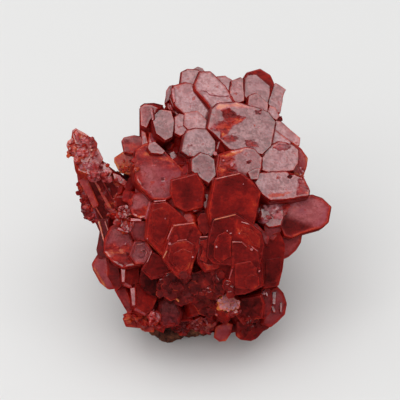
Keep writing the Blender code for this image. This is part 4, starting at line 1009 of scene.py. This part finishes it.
def addNodule(shelf, spot, wide, high, turn, deep, tone, sheen, chip):
    one, ring, look = newShape()
    bmesh.ops.create_icosphere(one, subdivisions=4, radius=1.0)
    cos, sin = math.cos(math.radians(turn)), math.sin(math.radians(turn))
    steep = crust["coarse"] if chip > crust["coarseFrom"] else crust["fine"]
    for vert in one.verts:
        x, y, z = vert.co
        x, y = x * wide, y * high
        way = right * (x * cos - y * sin) + up * (x * sin + y * cos) + out * z * deep
        mark = spot / mm + way
        grown = steep * splinter(mark, chip) + crust["swell"] * noise.noise(mark * crust["swellTo"])
        grown = grown - crust["furrow"] * abs(noise.noise(mark * crust["furrowTo"]))
        vert.co = spot + (way + way.normalized() * grown) * mm
        own = noise.noise(noise.voronoi(mark / chip)[1][0] * 5.3)
        sheenShare = sheen * (1.0 - crust["sheenShift"] * noise.noise(mark * crust["sheenTo"]) + own)
        vert[ring] = 1.0
        vert[look] = (tone + crust["toneShift"] * own, max(0.0, sheenShare), 0.5, crust["scar"])
    shelf.append(one)


for host, a, u, wide, high, turn, deep, sunk, tone, sheen in noduleTable:
    point, axis = surfaceAt(a, u) or ends[host][:2]
    spot = onPlane(a, u, point, axis) - axis * sunk * mm
    chip = crust["chips"].get(host, crust["plainChip"])
    addNodule(shelfOf[host], spot, wide, high, turn, deep, tone, sheen, chip)
print(len(noduleTable), "rough lumps added")

# Narrow facets turned to mirror a lamp, with pale sheen also painted on them: crystal, both ends (across,
# up), width, how pale (painted sheen), tone.
stripTable = [
    ("L7", -7.3, 0.7, -8.2, -2.1, 0.72, 1.5, 0.55), ("L7", -6.9, 0.72, -5.1, 0.9, 0.2, 0.9, 0.5),
    ("F1", 2.5, -2.12, 5.8, -1.3, 0.16, 1.0, 0.85), ("F1", 6.7, -2.45, 8.0, -2.85, 0.14, 0.9, 0.6),
    ("F3", 5.3, -5.6, 6.8, -5.62, 0.14, 1.0, 0.7), ("F3", 6.9, -5.7, 7.6, -6.4, 0.14, 1.0, 0.6),
    ("F3", 8.3, -6.3, 9.2, -7.0, 0.12, 1.0, 0.6), ("F3", 5.25, -9.9, 4.8, -11.4, 0.2, 0.9, 0.6),
    ("C5", -3.9, -3.05, -0.6, -2.62, 0.15, 1.0, 0.7), ("C5", -4.05, -3.3, -4.85, -5.2, 0.14, 1.0, 0.6),
    ("C5", -4.95, -7.0, -5.5, -8.1, 0.16, 0.8, 0.85), ("C5", -3.3, -5.4, -1.8, -5.2, 0.1, 0.8, 0.6),
    ("F2", 0.2, -4.85, 1.6, -4.75, 0.14, 0.8, 0.7), ("C1", 2.7, 4.25, 6.5, 5.1, 0.14, 0.5, 0.7),
    ("L9", -9.9, -5.6, -10.7, -7.8, 0.22, 0.7, 0.5), ("L9", -7.3, -7.0, -8.0, -8.8, 0.18, 0.5, 0.5),
    ("L8", -12.6, -3.5, -10.9, -4.05, 0.4, 1.0, 0.5), ("L10", -10.7, -3.9, -10.1, -2.4, 0.25, 1.0, 0.5),
    ("L10", -10.6, -2.1, -8.9, -2.2, 0.5, 1.2, 0.5), ("L5a", -11.75, -9.7, -11.75, -11.9, 0.8, 0.4, 0.45),
    ("L5a", -11.6, -12.1, -10.4, -12.65, 0.6, 0.4, 0.48),
    ("L5b", -10.3, -12.7, -10.1, -15.6, 0.9, 0.4, 0.46), ("L5b", -9.9, -16.0, -8.2, -17.0, 0.5, 0.5, 0.5),
    ("A2", -18.2, 4.4, -16.0, -0.2, 1.5, 0.5, 0.6), ("A2", -16.2, 4.2, -12.9, -2.2, 0.6, 0.5, 0.66),
    ("A2", -18.7, 6.2, -17.2, 3.6, 0.4, 0.8, 0.5), ("A3", -17.2, 1.7, -15.0, -2.0, 0.2, 0.9, 0.7),
    ("A1", -15.6, 5.0, -13.4, 1.0, 0.2, 0.2, 0.55), ("R4b", 11.1, -14.3, 11.9, -16.6, 0.6, 0.3, 0.5),
    ("R4b", 10.3, -12.9, 10.8, -14.1, 0.45, 0.6, 0.5), ("R4", 11.9, -12.9, 11.8, -15.4, 0.8, 0.3, 0.4),
    ("R4", 12.9, -14.6, 12.9, -16.6, 0.5, 0.25, 0.45), ("L6", -14.8, -7.4, -14.1, -11.0, 0.55, 0.8, 0.5),
    ("L6", -16.3, -9.6, -14.5, -12.5, 0.3, 0.5, 0.75), ("L6a", -15.6, -2.4, -14.5, -6.4, 0.3, 0.4, 0.8),
    ("L6a", -14.6, -2.4, -13.9, -4.6, 0.16, 0.5, 0.7), ("L9", -9.6, -6.0, -8.4, -5.9, 0.1, 0.9, 0.6),
    ("L9", -9.7, -6.2, -10.1, -7.4, 0.12, 0.9, 0.6), ("L9", -9.0, -6.9, -8.3, -6.8, 0.08, 0.9, 0.6),
    ("L9", -8.2, -6.9, -8.0, -7.6, 0.08, 0.8, 0.6), ("T5a", -7.4, 15.3, -7.1, 13.4, 0.5, 0.8, 0.5),
    ("M2", 1.2, 2.3, 1.25, -0.5, 0.45, 1.0, 0.5), ("T3", -4.0, 18.4, -3.75, 16.2, 0.55, 0.95, 0.5),
    ("T3", -4.5, 15.8, -4.1, 15.0, 0.35, 0.9, 0.5), ("T3", -3.6, 14.8, -3.1, 14.0, 0.35, 0.9, 0.5),
    ("G1", -4.1, -13.5, -3.0, -14.9, 0.18, 0.3, 0.95), ("G2", -2.9, -15.0, -0.7, -14.8, 0.16, 0.3, 0.95),
    ("T17", 15.9, 5.7, 16.3, 5.1, 0.22, 1.0, 0.5), ("T17", 16.3, 5.9, 16.6, 5.3, 0.16, 1.0, 0.5),
    ("T17", 15.6, 5.4, 15.9, 4.9, 0.16, 1.0, 0.5),
]
strip = {  # lengths in mm, or as parts of the width
    "proud": 0.08, "proudPerWidth": 0.3, "taper": 0.7, "deep": 0.5, "bevel": 0.12,
    "hidden": ("R4", "R4b"),  # here the crystals in front hide the left lamp
}


def mirroring(along):  # square to a strip, and towards the lamp that it can mirror best
    lamp = min((towardsBox, towardsLeft), key=lambda way: abs(way.dot(along)))
    return (lamp - along * lamp.dot(along)).normalized()


for index, (host, a1, u1, a2, u2, width, sheen, tone) in enumerate(stripTable):
    point, lie = surfaceAt((a1 + a2) / 2, (u1 + u2) / 2) or ends[host][:2]
    spot = point + lie * (strip["proud"] + width * strip["proudPerWidth"]) * mm
    if host in strip["hidden"]:
        lie = towardsBox
    one, two = onPlane(a1, u1, spot, lie), onPlane(a2, u2, spot, lie)
    along = (two - one).normalized()
    axis = towardsBox if host in strip["hidden"] else mirroring(along)
    half = axis.cross(along) * width * mm / 2
    face = [one + half, two + half * strip["taper"], two - half * strip["taper"], one - half]
    growPlain(shelfOf[host], f"{host}strip{index}", face, axis, strip["deep"] * mm, tone, sheen,
              bevel=width * strip["bevel"])

# Tiny crystals turned to mirror the top lamp, with a strong pale sheen painted on them too: across, up,
# half-width.
glints = [
    (-4.5, -5.9, 0.2), (2.8, -6.4, 0.14), (5.0, -4.3, 0.12), (4.5, -3.9, 0.1), (6.4, -4.3, 0.12),
    (8.3, -6.8, 0.18), (-0.9, -8.0, 0.13), (-1.9, 12.7, 0.14), (5.2, 6.5, 0.34), (3.9, 7.1, 0.16),
    (-8.2, 11.9, 0.2), (2.6, 8.2, 0.3), (3.0, 8.5, 0.18), (-1.3, 8.1, 0.2), (-5.2, -2.0, 0.08),
    (4.8, -18.3, 0.4), (10.2, -13.6, 0.3), (0.5, -18.1, 0.36), (-0.2, -18.4, 0.32), (0.8, -18.7, 0.26),
    (1.2, -18.0, 0.2), (-6.5, -17.2, 0.5), (9.5, -10.2, 0.14), (2.9, -16.9, 0.2), (5.4, -16.6, 0.2),
    (-7.4, 2.2, 0.12), (7.0, 3.4, 0.08), (12.4, 4.6, 0.14), (15.9, 5.9, 0.2), (16.3, 5.4, 0.18),
    (15.9, 4.9, 0.2), (16.4, 4.6, 0.16), (16.0, 4.3, 0.18), (1.5, -18.3, 0.3), (-0.8, -18.2, 0.22),
    (1.0, -17.7, 0.2), (3.6, -16.9, 0.24), (-14.4, 5.4, 0.4), (-12.4, 4.3, 0.45), (-8.0, -5.1, 0.1),
    (-9.6, -18.0, 0.16), (9.6, 14.6, 0.14), (9.9, 15.0, 0.1), (8.8, 12.6, 0.16), (9.4, 12.3, 0.12),
]
# Painted highlight: the strong sheen makes the glints pale in colour as well as glossy.
glint = {"proud": 0.1, "tone": 0.6, "sheen": 1.6}
for index, (a, u, half) in enumerate(glints):
    found = surfaceAt(a, u)
    if found:
        addBit(shelves["crystals_middle"], f"glint{index}", found[0], towardsBox, half, glint["proud"],
               glint["tone"], glint["sheen"], random.Random(index))
for group, shelf in shelves.items():
    pieceFrom(group, shelf, vanadinite, "vanadinite_crystals")

core = {  # the mass between the crystals, dark as painted shade; each bulge: which way, how far in mm, how wide
    "centre": Vector((-0.3, 0.6, 16.5)) * mm, "radii": Vector((12.0, 11.5, 12.5)) * mm, "rough": 0.3,
    "bulges": [
        ((7.0, 9.0, 12.0), 4.5, 0.5), ((0.0, 16.0, 3.0), 2.0, 0.5), ((0.0, -16.0, -5.0), 4.0, 0.45),
        ((-9.0, -12.0, -9.0), 4.0, 0.4), ((6.0, -13.0, -11.0), 5.0, 0.4), ((-12.0, -3.0, 0.0), 1.5, 0.5),
    ],
    "detail": 5, "pitting": 0.25,
}
rock = {
    "centre": Vector((-1.4, 0.6, 0.9)) * mm, "radii": Vector((9.8, 12.6, 7.0)) * mm, "rough": 1.0,
    "bulges": [((0.0, 9.0, 6.0), 4.0, 0.6), ((-4.6, -11.6, -1.0), 1.8, 0.35), ((3.0, -9.0, 6.0), 1.5, 0.5)],
    "detail": 7, "pitting": 0.5,
}
# Waves and pits of a lump's skin: how much, how close, and where in the noise they start.
lumpWaves = [(1.0, 2.3, Vector((3.1, 0.4, 7.7))), (0.6, 5.1, Vector((0.7, 8.2, 1.9)))]
lumpPits = [(1.0, 11.0), (0.6, 23.0), (0.35, 51.0)]


def lumpReach(shape, way):  # how far a lump reaches from its centre, and which way
    spot = Vector((way.x * shape["radii"].x, way.y * shape["radii"].y, way.z * shape["radii"].z))
    reach = spot.length
    for direction, extra, width in shape["bulges"]:
        apart = (way - Vector(direction).normalized()).length
        reach += extra * mm * math.exp(-(apart / width) ** 2)
    for share, close, start in lumpWaves:
        reach += shape["rough"] * mm * share * noise.noise(way * close + start)
    return spot.normalized(), reach


def lump(shape):
    one, _, look = newShape()
    bmesh.ops.create_icosphere(one, subdivisions=shape["detail"], radius=1.0)
    for vert in one.verts:
        way, reach = lumpReach(shape, vert.co.normalized())
        spot = vert.co.normalized()
        pits = 0.0
        for share, close in lumpPits:
            pits += share * noise.noise(spot * close)
        vert.co = shape["centre"] + way * (reach + shape["pitting"] * mm * pits)
        vert[look] = (0.25, 0.0, 0.5, 0.0)
    return one


# The far side: middle of the end face (x, y, z) and half-width, in mm.
backTable = [
    (1.5, 14.0, 28.5, 2.8), (7.5, 13.5, 28.0, 2.9), (-2.4, 12.3, 27.5, 2.5), (4.5, 17.0, 23.5, 3.3),
    (-1.7, 16.3, 22.3, 3.1), (10.0, 13.0, 22.5, 3.0), (-6.3, 12.0, 21.2, 2.7), (-9.6, 7.5, 20.5, 2.5),
    (13.3, 8.5, 20.5, 2.9), (14.8, 2.0, 22.0, 2.6), (14.6, 3.5, 15.5, 2.9), (12.0, 11.5, 14.5, 3.0),
    (6.5, 16.0, 15.5, 3.3), (0.0, 17.3, 15.8, 3.3), (-5.4, 14.6, 15.0, 3.0), (-8.6, 10.2, 14.5, 2.2),
    (-11.6, 4.0, 12.0, 2.6), (-10.4, 7.5, 9.5, 2.5), (-6.3, 12.6, 9.2, 2.8), (0.5, 15.3, 9.0, 2.5),
    (7.0, 13.2, 9.4, 2.9), (12.0, 7.0, 9.2, 2.7), (11.0, 1.0, 6.6, 2.4), (-11.0, 0.0, 8.4, 2.5),
    (10.4, -5.0, 5.6, 2.1), (-9.4, 5.0, 5.6, 2.0), (-12.3, -1.4, 14.6, 2.5), (-11.8, -5.2, 11.0, 2.3),
    (-12.8, 1.2, 17.6, 2.2), (13.2, -3.4, 14.6, 2.8), (13.2, -1.0, 19.2, 2.5), (12.2, -6.6, 10.4, 2.4),
    (12.4, 3.2, 10.6, 2.3), (-7.0, -10.5, 5.8, 1.9), (6.4, -11.5, 5.4, 1.9), (0.6, -13.4, 8.2, 2.0),
    (-3.8, -13.0, 7.2, 1.9), (-7.1, 7.3, 25.9, 1.7), (-9.4, 4.9, 25.0, 1.6), (-11.2, 3.6, 22.6, 1.2),
    (-6.4, 4.0, 28.1, 1.6), (10.8, 8.1, 24.9, 2.2), (-11.2, 6.0, 14.2, 1.3), (-4.2, 7.1, 28.2, 2.0),
    (-8.9, 10.1, 17.8, 1.8), (-2.8, 13.9, 10.6, 1.7), (3.8, 14.2, 12.1, 1.8), (8.6, 9.2, 9.6, 1.7),
    (3.4, 11.2, 8.2, 1.7), (11.8, 6.3, 14.2, 1.8), (-8.3, 9.4, 11.8, 1.8),
]
back = {
    "sway": 0.2, "sink": (-0.9, 0.4), "uneven": (0.8, 1.15), "turn": 23, "length": 7.0,
    "tone": 0.44, "toneSpread": 0.16, "sheen": 0.25,
}
backShelf = []
for index, (x, y, z, half) in enumerate(backTable):
    tip = Vector((x, y, z)) * mm
    sway = Vector((math.sin(index * 2.1), math.cos(index * 1.7), math.sin(index * 0.9)))
    axis = ((tip - core["centre"]).normalized() + sway * back["sway"]).normalized()
    draw = random.Random(index)
    tip += axis * draw.uniform(*back["sink"]) * mm
    face = hexagonFace(tip, axis, [half * mm * draw.uniform(*back["uneven"]) for _ in range(3)],
                       index * back["turn"])
    growCrystal(backShelf, f"back{index}", face, axis, back["length"] * mm,
                back["tone"] + back["toneSpread"] * draw.random(), back["sheen"] * draw.random())
pieceFrom("crystals_back", backShelf, vanadinite, "vanadinite_crystals")

druse = {  # small crystals all over the core, where nothing larger grows
    "count": 760, "halves": (0.5, 1.4), "sway": 0.35, "prouds": (0.2, 1.5), "out": 0.3, "lowest": 2.4,
    "tones": (0.34, 0.58), "sheens": (0.0, 0.2), "seed": 1000,
    # the notch behind the arm stays open
    "notch": numbers("-15.0,9.5 -12.2,8.0 -11.6,5.6 -9.8,4.8 -9.8,3.6 -12.8,4.4 -14.6,6.2"),
}
druseShelf = []
golden = math.pi * (3.0 - math.sqrt(5.0))  # the turn that spreads points evenly over a ball
for index in range(druse["count"]):
    draw = random.Random(druse["seed"] + index)
    height = 1.0 - 2.0 * (index + 0.5) / druse["count"]
    flat = math.sqrt(1.0 - height * height)
    around = index * golden
    way, reach = lumpReach(core, Vector((flat * math.cos(around), flat * math.sin(around), height)))
    spot = core["centre"] + way * (reach + druse["out"] * mm)
    if spot.z > druse["lowest"] * mm and insideDistance(*seenAt(spot), druse["notch"]) < 0.0:
        axis = swayed(way, druse["sway"], draw)
        half, proud, tone, sheen = (draw.uniform(*druse[key])
                                   for key in ("halves", "prouds", "tones", "sheens"))
        addBit(druseShelf, f"druse{index}", spot, axis, half, proud, tone, sheen, draw)
pieceFrom("crystals_druse", druseShelf, vanadinite, "vanadinite_crystals")
pieceFrom("crystal_core", [lump(core)], paintedGapShade, "vanadinite_crystals")

stone = lump(rock)  # cut flat below
whole = list(stone.verts) + list(stone.edges) + list(stone.faces)
bmesh.ops.bisect_plane(stone, geom=whole, plane_co=(0, 0, 0), plane_no=(0, 0, -1), clear_outer=True)
bmesh.ops.holes_fill(stone, edges=[e for e in stone.edges if e.is_boundary])
pieceFrom("rock", [stone], brownRock, "matrix")

# Floor, light and camera.
floorLook = {"half": 2.5, "colour": (0.77, 0.77, 0.765, 1.0), "rough": 0.9}
floorMesh = bmesh.new()
bmesh.ops.create_grid(floorMesh, x_segments=1, y_segments=1, size=floorLook["half"])
floorData = bpy.data.meshes.new("floor")
floorMesh.to_mesh(floorData)
floorMesh.free()
floor = addObject("floor", floorData)
floorFinish = Finish("pale floor", Base_Color=floorLook["colour"], Roughness=floorLook["rough"])
floor.data.materials.append(floorFinish.material)
floor.visible_glossy = False  # the sides of the crystals stay deep red

lamps = {  # from the middle of the cluster, m; a lamp that isn't aimed hangs level
    "topBox": {"at": (0.05, 0.06, 0.6), "size": (0.9, 0.42), "glow": 1.46, "shows": True, "aimed": False},
    "leftBox": {"at": (-0.42, -0.25, 0.35), "size": (0.16, 0.24), "glow": 1.25, "shows": True, "aimed": True},
    "leftStrip": {"at": (-0.56, 0.06, 0.18), "size": (0.25, 0.5), "glow": 0.8, "shows": False, "aimed": True},
    "fill": {"at": (-0.2, -0.36, 0.68), "size": (0.8, 0.8), "glow": 1.05, "shows": False, "aimed": True},
}
for name, lamp in lamps.items():
    data = bpy.data.lights.new(name, "AREA")
    data.shape = "RECTANGLE"
    data.size, data.size_y = lamp["size"]
    data.energy = lamp["glow"] * math.pi * data.size * data.size_y
    light = addObject(name, data)
    light.location = centre + Vector(lamp["at"])
    if lamp["aimed"]:
        light.rotation_euler = Vector(lamp["at"]).to_track_quat("Z", "Y").to_euler()
    light.visible_glossy = lamp["shows"]
    light.visible_camera = False

studio = {"lights": 0.50, "mirrored": 0.004, "seen": 0.73}  # greys of the room, by what looks at it
greys = {use: (grey, grey, grey, 1.0) for use, grey in studio.items()}
world = bpy.data.worlds.new("studio")
bpy.context.scene.world = world
world.use_nodes = True
room = Nodes(world.node_tree)
shown = room.blend(room.node("LightPath", output="Is Glossy Ray"), greys["lights"], greys["mirrored"])
shown = room.blend(room.node("LightPath", output="Is Camera Ray"), shown, greys["seen"])
room.tree.links.new(shown.link, room.tree.nodes["Background"].inputs["Color"])

bpy.context.scene.view_settings.view_transform = "Standard"

lens = {"length": 163.7, "sensor": 36.0, "nearest": 0.01}  # mm, mm and m
cameraData = bpy.data.cameras.new("camera")
cameraData.lens, cameraData.sensor_width = lens["length"], lens["sensor"]
cameraData.clip_start = lens["nearest"]
camera = addObject("camera", cameraData)
camera.location = eye
camera.rotation_euler = out.to_track_quat("Z", "Y").to_euler()
bpy.context.scene.camera = camera
